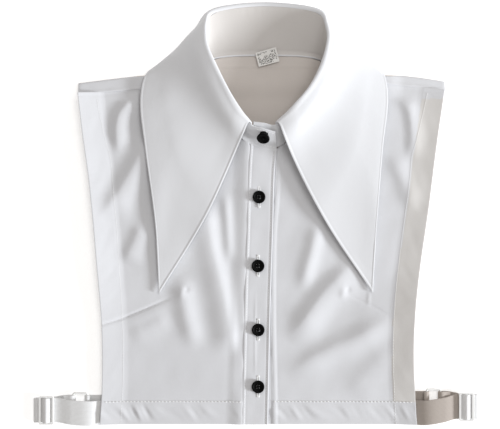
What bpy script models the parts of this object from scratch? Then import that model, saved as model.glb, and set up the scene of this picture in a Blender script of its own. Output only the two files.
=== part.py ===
"""Detachable shirt collar (half shirt front), buttoned and laid flat on its back panel.

+X is the wearer's left, +Y runs from the hem to the back of the collar, +Z is up
from the surface it lies on. Sizes are millimetres until a mesh is written.
"""

import math

import bmesh
import bpy
import numpy as np
from mathutils import Vector

MM = 0.001

BACK_CLOTH = 1.2
FRONT_CLOTH = 1.4
COLLAR_CLOTH = 1.4
SEAM_GAP = 0.3
ELASTIC = 1.1

HEM_Y = -196.4
BAND_WIDTH = 25.0
NECK_LEFT_X = -58.0
NECK_RIGHT_X = 72.0
LEAF_BED = 1.9
SHOULDER_RISE = 1.6
FOLD_RADIUS = 2.2
NECK_LIFT = 3.4
NECK_LIFT_CENTRE = (5.0, 72.0)
NECK_LIFT_REACH = 46.0
BAND_LIFT = 1.8
BAND_EASE = 16.0
ROLL_RADIUS = 2.2
ROLL_LEAD = 1.2
STAND_STATIONS = 28
ROLL_SHARE = 5.0 / 13.0
LEAF_BELOW_WITHIN = 0.475
LEAF_BELOW_EASE = 0.06

BUTTON_RADIUS = 6.0
BUTTON_HEIGHT = 2.4
BUTTON_LIFT = 0.5
BUTTONS_ON_BAND = ((1.6, 16.3), (0.7, -48.0), (0.8, -107.7), (0.7, -160.8))

STRAP_WIDTH = 22.8
SLIDER_SIZE = (14.2, 26.4, 1.9)
SLIDER_SLOT = (4.3, 23.6)
SLIDER_BAR = 5.9
RING_SIZE = (15.0, 28.6)
RING_WIRE = 1.0
LABEL_SIZE = (20.0, 13.4)
LABEL_CLOTH = 1.0

# Outer edges of the fronts, hem to shoulder seam: x, y.
ARMHOLE_RIGHT = (
    (-147.0, HEM_Y), (-145.1, -164.0), (-144.8, -126.8), (-145.3, -104.9),
    (-149.7, -45.4), (-157.1, 33.6), (-163.0, 77.2), (-166.9, 113.6),
)
ARMHOLE_LEFT = (
    (149.0, HEM_Y), (146.7, -163.1), (145.4, -142.2), (146.2, -98.7),
    (153.7, -37.9), (159.3, 0.5), (167.8, 66.4), (174.6, 116.4),
)
# Seam that joins each front to its button band or buttonhole band: x, y.
BAND_SEAM_RIGHT = ((-15.2, HEM_Y), (-14.7, -173.3), (-12.4, -70.6), (-10.5, -14.5), (-8.7, 46.2), (-7.9, 66.4))
BAND_SEAM_LEFT = ((16.2, HEM_Y), (16.1, -181.0), (14.5, -86.0), (15.6, -14.5), (18.8, 29.0), (19.4, 62.2))
# Shoulder seams, outside to neck: x, y.
SHOULDER_SEAM_RIGHT = ((-166.9, 113.6), (-149.8, 114.7), (-128.3, 116.4), (-109.6, 117.8), (-57.6, 122.6))
SHOULDER_SEAM_LEFT = ((174.6, 116.4), (151.1, 119.8), (135.2, 121.0), (120.3, 122.6), (71.9, 123.0))
# Line on which the cloth turns over the shoulders: x, y.
SHOULDER_FOLD = (
    (-168.4, 123.0), (-147.2, 125.7), (-127.0, 128.2), (-108.0, 130.0), (NECK_LEFT_X, 130.3),
    (7.0, 130.4), (NECK_RIGHT_X, 130.3), (117.0, 130.2), (137.7, 129.9), (152.7, 128.2), (176.4, 124.6),
)

# Collar stations from a front edge (0) to the middle of the back (1), one table a side.
# Columns: station, seam x y z on the neck edge, roll x y z on the collar's upper fold,
# fall x y z where the leaf leaves the roll, turn x y z half way to the leaf's outer edge.
COLLAR_RIGHT = (
    (0.00, -7.7, 67.5, 8.3, -6.8, 84.7, 22.0, -18.0, 63.0, 12.5, -46.0, 1.5, 9.0),
    (0.14, -20.8, 75.0, 7.3, -19.0, 102.0, 27.0, -36.0, 86.0, 15.0, -72.0, 45.0, 9.0),
    (0.28, -35.7, 89.0, 6.6, -27.8, 117.0, 29.5, -50.0, 107.0, 16.5, -84.0, 85.0, 9.6),
    (0.42, -50.5, 110.0, 7.2, -36.7, 135.0, 30.5, -60.0, 126.0, 17.0, -88.0, 115.0, 10.6),
    (0.55, -56.9, 126.0, 7.2, -44.4, 153.0, 29.8, -65.0, 150.0, 17.5, -88.0, 142.0, 7.5),
    (0.63, -55.6, 134.5, 5.4, -46.5, 164.0, 28.6, -64.0, 163.0, 14.0, -78.5, 150.0, 2.8),
    (0.71, -49.0, 143.0, 3.3, -47.3, 174.5, 26.5, -57.0, 172.0, 12.5, -65.0, 155.0, 1.4),
    (0.85, -30.0, 148.6, 2.7, -39.0, 188.6, 19.0, -42.0, 189.2, 8.5, -38.0, 165.0, 0.8),
    (1.00, 7.3, 149.5, 2.6, 7.1, 195.6, 12.0, 7.1, 196.6, 5.6, 7.1, 165.0, 0.7),
)
COLLAR_LEFT = (
    (0.00, 19.2, 63.4, 6.9, 17.9, 84.7, 22.0, 30.0, 58.6, 12.5, 60.0, -0.5, 9.0),
    (0.14, 33.3, 73.2, 6.6, 34.6, 102.0, 27.0, 51.0, 86.0, 15.0, 86.0, 45.0, 9.0),
    (0.28, 49.2, 88.6, 6.6, 47.2, 117.0, 29.5, 67.0, 107.0, 16.5, 98.0, 85.0, 9.6),
    (0.42, 64.5, 110.0, 7.2, 56.6, 135.0, 30.5, 77.0, 127.0, 17.0, 102.0, 117.0, 10.6),
    (0.55, 71.0, 126.0, 7.2, 62.1, 153.0, 29.8, 81.0, 154.0, 17.5, 104.0, 144.0, 7.5),
    (0.63, 69.8, 134.5, 5.4, 63.7, 163.0, 28.6, 79.0, 166.0, 14.0, 95.0, 150.0, 2.8),
    (0.71, 63.5, 143.0, 3.3, 63.2, 172.6, 26.5, 72.0, 174.0, 12.5, 82.0, 157.0, 1.4),
    (0.85, 45.0, 148.6, 2.7, 54.8, 188.4, 19.0, 57.5, 189.4, 8.5, 53.0, 165.0, 0.8),
    (1.00, 7.3, 149.5, 2.6, 7.1, 195.6, 12.0, 7.1, 196.6, 5.6, 7.1, 165.0, 0.7),
)
# Outer edge of the leaf, point to back: station, x, y, z.
LEAF_EDGE_RIGHT = (
    (0.00, -91.7, -73.8, 6.6), (0.14, -95.0, -8.0, 8.0), (0.28, -104.0, 60.0, 8.6), (0.42, -108.6, 107.0, 9.2),
    (0.48, -106.6, 122.5, 8.8), (0.52, -103.6, 130.2, 8.2), (0.55, -100.4, 134.4, 5.2), (0.59, -95.4, 134.6, 1.6),
    (0.64, -88.0, 130.5, 0.7), (0.71, -70.0, 128.0, 0.7), (0.85, -33.0, 129.5, 0.7), (1.00, 7.1, 131.0, 0.7),
)
LEAF_EDGE_LEFT = (
    (0.00, 107.6, -72.8, 6.6), (0.14, 111.3, -7.0, 8.0), (0.28, 116.4, 60.0, 8.6), (0.42, 121.2, 107.0, 9.2),
    (0.48, 120.0, 122.5, 8.8), (0.52, 117.6, 130.4, 8.2), (0.55, 114.8, 134.4, 5.2), (0.59, 110.0, 134.6, 1.6),
    (0.64, 102.0, 130.5, 0.7), (0.71, 84.0, 128.0, 0.7), (0.85, 48.0, 129.5, 0.7), (1.00, 7.1, 131.0, 0.7),
)
# The stand runs past the leaf at the front: seam x y z, upper edge x y z, from the free end.
TAB_OVER = ((18.4, 60.2, 9.2, 16.4, 76.2, 19.0), (5.0, 62.6, 9.0, 4.5, 79.6, 20.4))
TAB_UNDER = ((-5.6, 68.6, 7.2, -3.6, 85.4, 19.6), (6.0, 65.6, 7.1, 6.0, 84.2, 19.8))

# Large folds of the fronts: start x y, end x y, half width, height, bow to the side.
FOLDS_RIGHT = (
    (-115.0, 98.0, -132.0, 42.0, 9.0, 4.0, 4.0),
    (-148.0, 108.0, -152.0, 30.0, 8.0, 2.6, -3.0),
    (-98.0, 52.0, -138.0, -8.0, 10.0, 3.2, 3.0),
    (-46.0, 8.0, -18.0, -140.0, 6.5, 4.6, -5.0),
    (-66.0, -40.0, -64.0, -128.0, 9.0, 3.4, 4.0),
    (-138.0, -60.0, -96.0, -66.0, 11.0, 2.6, 0.0),
    (-120.0, -128.0, -60.0, -168.0, 12.0, 2.4, 5.0),
)
FOLDS_LEFT = (
    (128.0, 96.0, 132.0, 50.0, 8.0, 3.4, -3.0),
    (153.0, 108.0, 152.0, 48.0, 8.0, 2.6, 3.0),
    (76.0, 4.0, 30.0, -76.0, 9.0, 4.2, 4.0),
    (112.0, -70.0, 30.0, -118.0, 10.0, 4.6, 6.0),
    (124.0, -106.0, 38.0, -152.0, 8.0, 3.0, 5.0),
    (122.0, -136.0, 76.0, -182.0, 8.0, 2.6, 3.0),
    (140.0, -20.0, 126.0, -62.0, 9.0, 2.4, -2.0),
)


def clear_scene():
    """Start from an empty file."""
    for item in list(bpy.data.objects):
        bpy.data.objects.remove(item, do_unlink=True)


def soft_step(value):
    """0 below 0, 1 above 1, smooth between."""
    value = min(max(value, 0.0), 1.0)
    return value * value * (3.0 - 2.0 * value)


def along(rows, knots, where):
    """Point on the smooth curve that passes each row at its knot."""
    rows = np.asarray(rows, float)
    knots = np.asarray(knots, float)
    slopes = np.gradient(rows, knots, axis=0)
    i = int(np.clip(np.searchsorted(knots, where, side="right") - 1, 0, len(knots) - 2))
    step = knots[i + 1] - knots[i]
    t = (where - knots[i]) / step
    start = 2 * t**3 - 3 * t**2 + 1
    lead = t**3 - 2 * t**2 + t
    end = -2 * t**3 + 3 * t**2
    trail = t**3 - t**2
    return rows[i] * start + slopes[i] * step * lead + rows[i + 1] * end + slopes[i + 1] * step * trail


def spaced(rows):
    """Knots from 0 to 1 by the distance between rows."""
    steps = np.linalg.norm(np.diff(np.asarray(rows, float), axis=0), axis=1)
    total = np.concatenate([[0.0], np.cumsum(steps)])
    return total / total[-1]


def line_y(rows, x):
    """Height in y of a left-to-right line at x."""
    xs = [row[0] for row in rows]
    ys = [row[1] for row in rows]
    return float(np.interp(x, xs, ys))


def fine_line(rows):
    """The smooth curve through a few rows, as many short steps."""
    return [tuple(along(rows, spaced(rows), step / 40)) for step in range(41)]


def fold_height(folds, x, y):
    """Rise of the cloth from its large folds at one place."""
    rise = 0.0
    for x0, y0, x1, y1, half, height, bow in folds:
        dx = x1 - x0
        dy = y1 - y0
        length = math.hypot(dx, dy)
        run = ((x - x0) * dx + (y - y0) * dy) / length**2
        side = ((x - x0) * dy - (y - y0) * dx) / length
        side -= bow * (1.0 - (2.0 * run - 1.0) ** 2)
        ends = soft_step((run + 0.12) / 0.34) * soft_step((1.12 - run) / 0.34)
        rise += height * ends * math.exp(-((side / half) ** 2))
    return rise


def back_bed(x, y):
    """Underside of the back panel, raised where the leaf lies under it."""
    rise = soft_step((y - 106.0) / 17.0) * soft_step((x + 124.0) / 16.0) * soft_step((138.0 - x) / 16.0)
    return LEAF_BED * rise


def front_bed(x, y):
    """Underside of the front layer where it has no folds."""
    reach = math.hypot(x - NECK_LIFT_CENTRE[0], y - NECK_LIFT_CENTRE[1]) / NECK_LIFT_REACH
    lift = NECK_LIFT * math.exp(-(reach**2))
    shoulder = SHOULDER_RISE * soft_step((y - 66.0) / 46.0)
    return back_bed(x, y) + BACK_CLOTH + SEAM_GAP + shoulder + lift


def quiet_edges(x, y):
    """Folds die out at the hem and under the bands."""
    hem = soft_step((y - HEM_Y) / 34.0)
    top = soft_step((114.0 - y) / 22.0)
    return hem * top


def right_front_bed(x, y):
    """Underside of the wearer's right front."""
    seam_x = float(np.interp(y, [row[1] for row in BAND_SEAM_RIGHT], [row[0] for row in BAND_SEAM_RIGHT]))
    ease = soft_step((x - seam_x + BAND_EASE) / BAND_EASE)
    fade = soft_step((seam_x - x) / 12.0)
    return front_bed(x, y) + 1.6 * ease + fade * quiet_edges(x, y) * fold_height(FOLDS_RIGHT, x, y)


def left_front_bed(x, y):
    """Underside of the wearer's left front."""
    seam_x = float(np.interp(y, [row[1] for row in BAND_SEAM_LEFT], [row[0] for row in BAND_SEAM_LEFT]))
    fade = soft_step((x - seam_x) / 12.0)
    return front_bed(x, y) + fade * quiet_edges(x, y) * fold_height(FOLDS_LEFT, x, y)


def front_top(x, y):
    """Upper face of whatever front cloth lies at a place."""
    if x < -8.0:
        return right_front_bed(x, y) + FRONT_CLOTH
    if x > 19.0:
        return left_front_bed(x, y) + FRONT_CLOTH
    return front_bed(x, y) + BAND_LIFT + FRONT_CLOTH


def material(name, colour, roughness, metallic=0.0):
    """One Principled material."""
    made = bpy.data.materials.new(name)
    made.use_nodes = True
    shader = made.node_tree.nodes["Principled BSDF"]
    shader.inputs["Base Color"].default_value = (*colour, 1.0)
    shader.inputs["Roughness"].default_value = roughness
    shader.inputs["Metallic"].default_value = metallic
    return made


def add_object(name, mesh_data, surface, smooth=True):
    """Write a bmesh, in millimetres, as a named object in metres."""
    bmesh.ops.scale(mesh_data, vec=(MM, MM, MM), verts=mesh_data.verts)
    mesh = bpy.data.meshes.new(name)
    mesh_data.to_mesh(mesh)
    mesh_data.free()
    if smooth:
        mesh.polygons.foreach_set("use_smooth", [True] * len(mesh.polygons))
    mesh.materials.append(surface)
    made = bpy.data.objects.new(name, mesh)
    bpy.context.scene.collection.objects.link(made)
    return made


def patch(mesh_data, place, across, up):
    """Add a grid of cells, each corner put where place(u, v) says."""
    made = bmesh.ops.create_grid(mesh_data, x_segments=across, y_segments=up, size=0.5)
    for vert in made["verts"]:
        vert.co = place(vert.co.x + 0.5, vert.co.y + 0.5)


def slab(name, place, across, up, thick, surface):
    """Cloth lying flat: a grid raised straight up by its thickness."""
    mesh_data = bmesh.new()
    patch(mesh_data, place, across, up)
    made = bmesh.ops.extrude_face_region(mesh_data, geom=mesh_data.faces[:])
    raised = [item for item in made["geom"] if isinstance(item, bmesh.types.BMVert)]
    bmesh.ops.translate(mesh_data, vec=(0.0, 0.0, thick), verts=raised)
    bmesh.ops.recalc_face_normals(mesh_data, faces=mesh_data.faces[:])
    return add_object(name, mesh_data, surface)


def shell(name, mesh_data, thick, offset, surface):
    """Cloth that stands or rolls: a surface given its thickness by a modifier."""
    made = add_object(name, mesh_data, surface)
    wall = made.modifiers.new("cloth", "SOLIDIFY")
    wall.thickness = thick * MM
    wall.offset = offset
    wall.use_rim = True
    wall.use_even_offset = False
    return made


def coons(west, east, south, north, u, v):
    """Point of a patch between four edge curves."""
    w = west(v)
    e = east(v)
    s = south(u)
    n = north(u)
    corners = (
        (1 - u) * (1 - v) * west(0.0) + u * (1 - v) * east(0.0) + (1 - u) * v * west(1.0) + u * v * east(1.0)
    )
    return (1 - u) * w + u * e + (1 - v) * s + v * n - corners


def neck_edge(table, shift, stations):
    """Neck edge of a front, moved out from the stand's seam."""
    knots = [row[0] for row in table]
    points = []
    for station in stations:
        x, y = along([row[1:3] for row in table], knots, station)
        ahead = along([row[1:3] for row in table], knots, station + 0.01)
        behind = along([row[1:3] for row in table], knots, station - 0.01)
        tangent = (ahead - behind) / np.linalg.norm(ahead - behind)
        points.append((x + shift * tangent[1], y - shift * tangent[0]))
    return points


CORNER_AT = 0.80
NECK_STATIONS = (0.0, 0.07, 0.14, 0.21, 0.28, 0.35, 0.42, 0.49)


def front_edges(armhole, band_seam, shoulder, table, shift):
    """Four edge functions of a front: armhole, band seam with neck edge, hem and shoulder."""
    neck = neck_edge(table, shift, NECK_STATIONS)
    neck[-1] = shoulder[-1]
    seam = list(band_seam[:-1]) + [neck[0]]

    def outer(v):
        return along(armhole, spaced(armhole), v)

    def inner(v):
        if v <= CORNER_AT:
            return along(seam, spaced(seam), v / CORNER_AT)
        return along(neck, spaced(neck), (v - CORNER_AT) / (1 - CORNER_AT))

    def hem(u):
        return np.array(armhole[0]) * (1 - u) + np.array(seam[0]) * u

    def top(u):
        return along(shoulder, spaced(shoulder), u)

    return outer, inner, hem, top


def make_front(name, edges, bed, surface, mirrored):
    """One front, its hem and armhole to its shoulder seam."""

    def place(u, v):
        x, y = coons(*edges, 1 - u if mirrored else u, v)
        return x, y, bed(x, y)

    return slab(name, place, 20, 26, FRONT_CLOTH, surface)


def make_bands(top_surface, under_surface):
    """Buttonhole band on top, button band under it."""
    right_rows = [row for row in BAND_SEAM_RIGHT[:-1]] + [(-7.4, 66.2)]
    over_knots = spaced(right_rows)

    def over(u, v):
        x0, y0 = along(right_rows, over_knots, v)
        x = x0 + SEAM_GAP + BAND_WIDTH * u
        y = y0 - 6.6 * u * soft_step((v - 0.86) / 0.14)
        return x, y, front_bed(x, y) + BAND_LIFT

    left_rows = [row for row in BAND_SEAM_LEFT[:-1]] + [(18.7, 61.8)]
    under_knots = spaced(left_rows)

    def under(u, v):
        x1, y1 = along(left_rows, under_knots, v)
        x = x1 - SEAM_GAP - (BAND_WIDTH - 1.0) * (1 - u)
        y = y1 + 5.2 * (1 - u) * soft_step((v - 0.86) / 0.14)
        return x, y, front_bed(x, y)

    slab("placket_band", over, 2, 26, FRONT_CLOTH, top_surface)
    slab("button_band", under, 2, 26, FRONT_CLOTH, under_surface)


def back_neck_y(x):
    """Back neck edge of the back panel."""
    left = [(row[1], row[2]) for row in COLLAR_RIGHT if row[0] > 0.5]
    right = [(row[1], row[2]) for row in COLLAR_LEFT if 0.5 < row[0] < 1.0]
    rows = sorted(left + right)
    return line_y(rows, x) - SEAM_GAP - 0.4


def plain(u):
    """Even columns."""
    return u


def crowded(u):
    """Columns that crowd towards both ends."""
    return 0.5 - 0.5 * math.cos(math.pi * u)


def make_back(surface):
    """Back panel: flat on the surface, turned over the shoulders to the shoulder seams."""
    mesh_data = bmesh.new()
    inset = 1.0
    across = (8, 10, 8)
    left_rows = [(x + inset, y) for x, y in ARMHOLE_RIGHT[:-1]] + [(-167.4, 121.0)]
    right_rows = [(x - inset, y) for x, y in ARMHOLE_LEFT[:-1]] + [(175.4, 122.0)]
    left_knots = spaced(left_rows)
    right_knots = spaced(right_rows)
    hem_y = HEM_Y + 0.8
    x_left = left_rows[-1][0]
    x_right = right_rows[-1][0]
    splits = ((x_left, NECK_LEFT_X, plain), (NECK_LEFT_X, NECK_RIGHT_X, crowded), (NECK_RIGHT_X, x_right, plain))

    def flat_point(top_x, v):
        share = (top_x - x_left) / (x_right - x_left)
        low = along(left_rows, left_knots, v)[0]
        high = along(right_rows, right_knots, v)[0]
        x = low + (high - low) * share
        top = line_y(SHOULDER_FOLD, top_x) - FOLD_RADIUS
        y = hem_y + (top - hem_y) * v
        return x, y, back_bed(x, y)

    for columns, (start, end, share) in zip(across, splits):
        patch(mesh_data, lambda u, v, s=start, e=end, f=share: flat_point(s + (e - s) * f(u), v), columns, 16)

    def over_shoulder(x, seam, v):
        y0 = line_y(SHOULDER_FOLD, x) - FOLD_RADIUS
        z0 = back_bed(x, y0)
        if v <= 0.625:
            angle = math.pi * v / 0.625
            return x, y0 + FOLD_RADIUS * math.sin(angle), z0 + FOLD_RADIUS * (1 - math.cos(angle))
        run = (v - 0.625) / 0.375
        end_y = line_y(seam, x) + SEAM_GAP + 0.1
        y = y0 + (end_y - y0) * run
        return x, y, z0 + 2 * FOLD_RADIUS + (front_bed(x, y) + FRONT_CLOTH - z0 - 2 * FOLD_RADIUS) * run

    strips = (
        (x_left, NECK_LEFT_X, fine_line(SHOULDER_SEAM_RIGHT), across[0]),
        (NECK_RIGHT_X, x_right, fine_line(SHOULDER_SEAM_LEFT)[::-1], across[2]),
    )
    for start, end, seam, columns in strips:
        patch(
            mesh_data,
            lambda u, v, s=start, e=end, line=seam: over_shoulder(s + (e - s) * u, line, v),
            columns,
            8,
        )

    def neck_point(u, v):
        x = NECK_LEFT_X + (NECK_RIGHT_X - NECK_LEFT_X) * crowded(u)
        y0 = line_y(SHOULDER_FOLD, x) - FOLD_RADIUS
        y = y0 + (max(back_neck_y(x), y0 + 2.0) - y0) * v
        return x, y, back_bed(x, y)

    patch(mesh_data, neck_point, across[1], 3)
    bmesh.ops.remove_doubles(mesh_data, verts=mesh_data.verts[:], dist=0.02)
    return shell("back_panel", mesh_data, BACK_CLOTH, 1.0, surface)


def both_sides(right, left):
    """One table all round: right side at stations 0 to 1, left side at 1 to 2."""
    return [list(row) for row in right] + [[2.0 - row[0], *row[1:]] for row in reversed(left[:-1])]


COLLAR_ROUND = both_sides(COLLAR_RIGHT, COLLAR_LEFT)
LEAF_EDGE_ROUND = both_sides(LEAF_EDGE_RIGHT, LEAF_EDGE_LEFT)


def collar_section(station):
    """Seam, roll arc and outward points of the collar at one station from 0 to 2."""
    row = along([line[1:] for line in COLLAR_ROUND], [line[0] for line in COLLAR_ROUND], station)
    seam, roll, fall, turn = row[0:3], row[3:6], row[6:9], row[9:12]
    outer = along([line[1:] for line in LEAF_EDGE_ROUND], [line[0] for line in LEAF_EDGE_ROUND], station)
    rising = (roll - seam) / np.linalg.norm(roll - seam)
    falling = (fall - roll) / np.linalg.norm(fall - roll)
    travel = (rising + falling) / np.linalg.norm(rising + falling)
    crest = (rising - falling) / np.linalg.norm(rising - falling)
    centre = roll - crest * ROLL_RADIUS
    half_turn = 0.45 * math.acos(float(np.clip(rising @ falling, -1.0, 1.0)))
    arc = []
    for share in (-1.0, -0.5, 0.0, 0.5, 1.0):
        angle = share * half_turn
        arc.append(centre + ROLL_RADIUS * (math.sin(angle) * travel + math.cos(angle) * crest))
    return seam, arc, fall, turn, outer


def rise_of(seam, arc):
    """Direction in which the stand reaches the roll."""
    return (arc[0] - seam) / np.linalg.norm(arc[0] - seam)


def leaf_point(u, v):
    """Middle of the leaf's cloth: u from front edge to front edge, v from roll to outer edge."""
    station = 2 * u
    seam, arc, fall, turn, outer = collar_section(station)
    rows = [arc[0] - rise_of(seam, arc) * ROLL_LEAD] + arc + [fall, turn, outer]
    knots = spaced(rows)
    if v < ROLL_SHARE:
        spread = knots[5] * v / ROLL_SHARE
    else:
        spread = knots[5] + (1 - knots[5]) * ((v - ROLL_SHARE) / (1 - ROLL_SHARE)) ** 1.15
    x, y, z = along(rows, knots, spread)
    if v > ROLL_SHARE:
        clear = front_top(x, y) + 2 * SEAM_GAP + COLLAR_CLOTH / 2
        z += max(0.0, clear - z) * soft_step((abs(station - 1.0) - LEAF_BELOW_WITHIN) / LEAF_BELOW_EASE)
    return x, y, max(z, COLLAR_CLOTH / 2)


def make_leaf(surface):
    """Leaf of the collar: over the roll all round, long points to the front."""
    mesh_data = bmesh.new()
    patch(mesh_data, leaf_point, 56, 13)
    return shell("collar_leaf", mesh_data, COLLAR_CLOTH, 0.0, surface)


def make_stand(surface):
    """Stand of the collar: neck seam to roll, lapped and buttoned at the front."""
    rows = [list(row) for row in TAB_OVER]
    for step in range(STAND_STATIONS + 1):
        seam, arc, *_ = collar_section(2.0 * step / STAND_STATIONS)
        top = arc[0] - rise_of(seam, arc) * (ROLL_LEAD + SEAM_GAP + 1.0)
        rows.append([*seam, *top])
    rows += [list(row) for row in reversed(TAB_UNDER)]
    rows = np.array(rows)
    knots = spaced(rows)

    def place(u, v):
        row = along(rows, knots, u)
        return row[0:3] + (row[3:6] - row[0:3]) * v

    mesh_data = bmesh.new()
    patch(mesh_data, place, 64, 3)
    return shell("collar_stand", mesh_data, COLLAR_CLOTH, 0.0, surface)


def make_button(name, centre, normal, surface):
    """Round button with a raised rim and a dished face."""
    profile = (
        (0.0, 0.0), (BUTTON_RADIUS - 1.0, 0.0), (BUTTON_RADIUS, 0.8), (BUTTON_RADIUS, BUTTON_HEIGHT - 0.5),
        (BUTTON_RADIUS - 0.6, BUTTON_HEIGHT), (BUTTON_RADIUS - 1.5, BUTTON_HEIGHT),
        (BUTTON_RADIUS - 2.4, BUTTON_HEIGHT - 0.8), (0.0, BUTTON_HEIGHT - 0.8),
    )
    mesh_data = bmesh.new()
    verts = [mesh_data.verts.new((radius, 0.0, height)) for radius, height in profile]
    edges = [mesh_data.edges.new(pair) for pair in zip(verts, verts[1:])]
    bmesh.ops.spin(
        mesh_data, geom=verts + edges, cent=(0, 0, 0), axis=(0, 0, 1), angle=2 * math.pi, steps=20, use_merge=True
    )
    bmesh.ops.remove_doubles(mesh_data, verts=mesh_data.verts[:], dist=0.01)
    bmesh.ops.recalc_face_normals(mesh_data, faces=mesh_data.faces[:])
    made = add_object(name, mesh_data, surface)
    made.rotation_euler = normal.to_track_quat("Z", "X").to_euler()
    made.location = [value * MM for value in centre]
    return made


def ribbon(name, path, width, slant, columns, surface):
    """Elastic that follows a path of x, middle y, z, its first end cut along the hem's edge."""
    knots = spaced(path)

    def place(u, v):
        x, y, z = along(path, knots, u)
        x += slant * (v - 0.5) * max(0.0, 1.0 - 8.0 * u)
        return x, y + (v - 0.5) * width, max(z, ELASTIC / 2)

    mesh_data = bmesh.new()
    patch(mesh_data, place, columns, 1)
    return shell(name, mesh_data, ELASTIC, 0.0, surface)


def make_strap(tag, side, hem_x, slant, slider, rise, ring_x, ring_y, surfaces):
    """Elastic through its slider and ring, the ring on a short stub from the back panel."""
    elastic, plastic = surfaces
    slider_x, slider_y, slider_z = slider
    sx = SLIDER_BAR
    under = SLIDER_SIZE[2] / 2 + SEAM_GAP + 0.2 + ELASTIC / 2
    floor_z = ELASTIC / 2
    bar_z = ELASTIC + SEAM_GAP + 0.1 + RING_WIRE
    over_ring = bar_z + RING_WIRE + SEAM_GAP + 0.1 + ELASTIC / 2
    near_bar = ring_x + side * (RING_SIZE[0] / 2 - RING_WIRE)
    far_bar = ring_x - side * (RING_SIZE[0] / 2 - RING_WIRE)
    wrap = RING_WIRE + 0.5 + ELASTIC / 2
    path = [
        (hem_x + side * 0.35, rise[0], 2.3),
        (hem_x + side * 2.0, rise[0], 2.9),
        (hem_x + side * 6.0, rise[0] + 0.1 * (rise[1] - rise[0]), over_ring + ELASTIC + 0.7),
        (hem_x + side * 26.0, rise[0] + 0.7 * (rise[1] - rise[0]), over_ring + ELASTIC + 0.6),
        (slider_x - side * (sx + 2.6), slider_y, slider_z - under + 0.1),
        (slider_x - side * sx, slider_y, slider_z - under),
        (slider_x, slider_y, slider_z + under),
        (slider_x + side * sx, slider_y, slider_z - under),
        (slider_x + side * (sx + 4.4), slider_y - 0.2, slider_z - under + 0.3),
        (slider_x + side * (sx + 6.3), slider_y - 0.4, (slider_z - under + floor_z) / 2),
        (slider_x + side * (sx + 4.4), slider_y - 0.2, floor_z + 0.02),
        (slider_x - side * 2.0, slider_y, floor_z),
        (near_bar + side * 6.0, ring_y, floor_z),
        (near_bar, ring_y, floor_z),
        (near_bar - side * wrap, ring_y, bar_z),
        (near_bar, ring_y, over_ring),
        (near_bar + side * 6.0, ring_y, over_ring - 1.0),
        (near_bar + side * 9.0, ring_y, over_ring - 1.4),
    ]
    ribbon(f"strap_{tag}", path, STRAP_WIDTH, slant, 56, elastic)
    stub = [
        (hem_x - side * 0.6, ring_y, floor_z),
        (hem_x + side * 4.0, ring_y, floor_z),
        (far_bar, ring_y, floor_z),
        (far_bar + side * wrap, ring_y, bar_z),
        (far_bar, ring_y, over_ring),
        (far_bar - side * 2.4, ring_y, over_ring - 0.4),
    ]
    ribbon(f"strap_stub_{tag}", stub, STRAP_WIDTH, slant, 22, elastic)
    make_slider(f"slider_{tag}", (slider_x, slider_y, slider_z), plastic)
    make_ring(f"ring_{tag}", (ring_x, ring_y, bar_z), plastic)


def make_slider(name, centre, surface):
    """Flat frame with a middle bar, two slots for the elastic."""
    mesh_data = bmesh.new()
    bmesh.ops.create_cube(mesh_data, size=1.0)
    bmesh.ops.scale(mesh_data, vec=SLIDER_SIZE, verts=mesh_data.verts)
    upright = [e for e in mesh_data.edges if abs(e.verts[0].co.z - e.verts[1].co.z) > 0.5]
    bmesh.ops.bevel(mesh_data, geom=upright, offset=1.6, segments=3, profile=0.5, affect="EDGES")
    made = add_object(name, mesh_data, surface, smooth=False)
    made.location = [value * MM for value in centre]
    for side in (-1, 1):
        slot_data = bmesh.new()
        bmesh.ops.create_cube(slot_data, size=1.0)
        bmesh.ops.scale(slot_data, vec=(SLIDER_SLOT[0], SLIDER_SLOT[1], 6.0), verts=slot_data.verts)
        cutter = add_object(f"{name}_slot", slot_data, surface, smooth=False)
        cutter.location = [
            (centre[0] + side * SLIDER_BAR / 2) * MM,
            centre[1] * MM,
            centre[2] * MM,
        ]
        cutter.hide_render = True
        cutter.display_type = "WIRE"
        slot = made.modifiers.new("slot", "BOOLEAN")
        slot.operation = "DIFFERENCE"
        slot.solver = "EXACT"
        slot.object = cutter
    edge = made.modifiers.new("edge", "BEVEL")
    edge.width = 0.25 * MM
    edge.segments = 1
    edge.limit_method = "ANGLE"
    return made


def make_ring(name, centre, surface):
    """Rounded rectangular ring of round wire."""
    half_x = RING_SIZE[0] / 2 - RING_WIRE
    half_y = RING_SIZE[1] / 2 - RING_WIRE
    corner = 1.6

    def place(u, v):
        angle = 2 * math.pi * u + math.pi / 20
        cx = math.copysign(half_x - corner, math.cos(angle))
        cy = math.copysign(half_y - corner, math.sin(angle))
        out_x = math.cos(angle)
        out_y = math.sin(angle)
        turn = 2 * math.pi * v
        reach = RING_WIRE * math.cos(turn)
        return cx + (corner + reach) * out_x, cy + (corner + reach) * out_y, RING_WIRE * math.sin(turn)

    mesh_data = bmesh.new()
    patch(mesh_data, place, 20, 8)
    bmesh.ops.remove_doubles(mesh_data, verts=mesh_data.verts[:], dist=0.01)
    bmesh.ops.recalc_face_normals(mesh_data, faces=mesh_data.faces[:])
    made = add_object(name, mesh_data, surface)
    made.location = [value * MM for value in centre]
    return made


def make_label(surface):
    """Woven label on the back neck seam, half on the stand and half on the back panel."""
    tilt = math.radians(15.0)
    centre = (9.4, 146.8)

    def place(u, v):
        across = (u - 0.5) * LABEL_SIZE[0]
        up = (v - 0.5) * LABEL_SIZE[1]
        x = centre[0] + across * math.cos(tilt) - up * math.sin(tilt)
        y = centre[1] + across * math.sin(tilt) + up * math.cos(tilt)
        return x, y, 3.6 + 0.22 * max(0.0, y - 147.5)

    return slab("neck_label", place, 4, 6, LABEL_CLOTH, surface)


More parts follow.
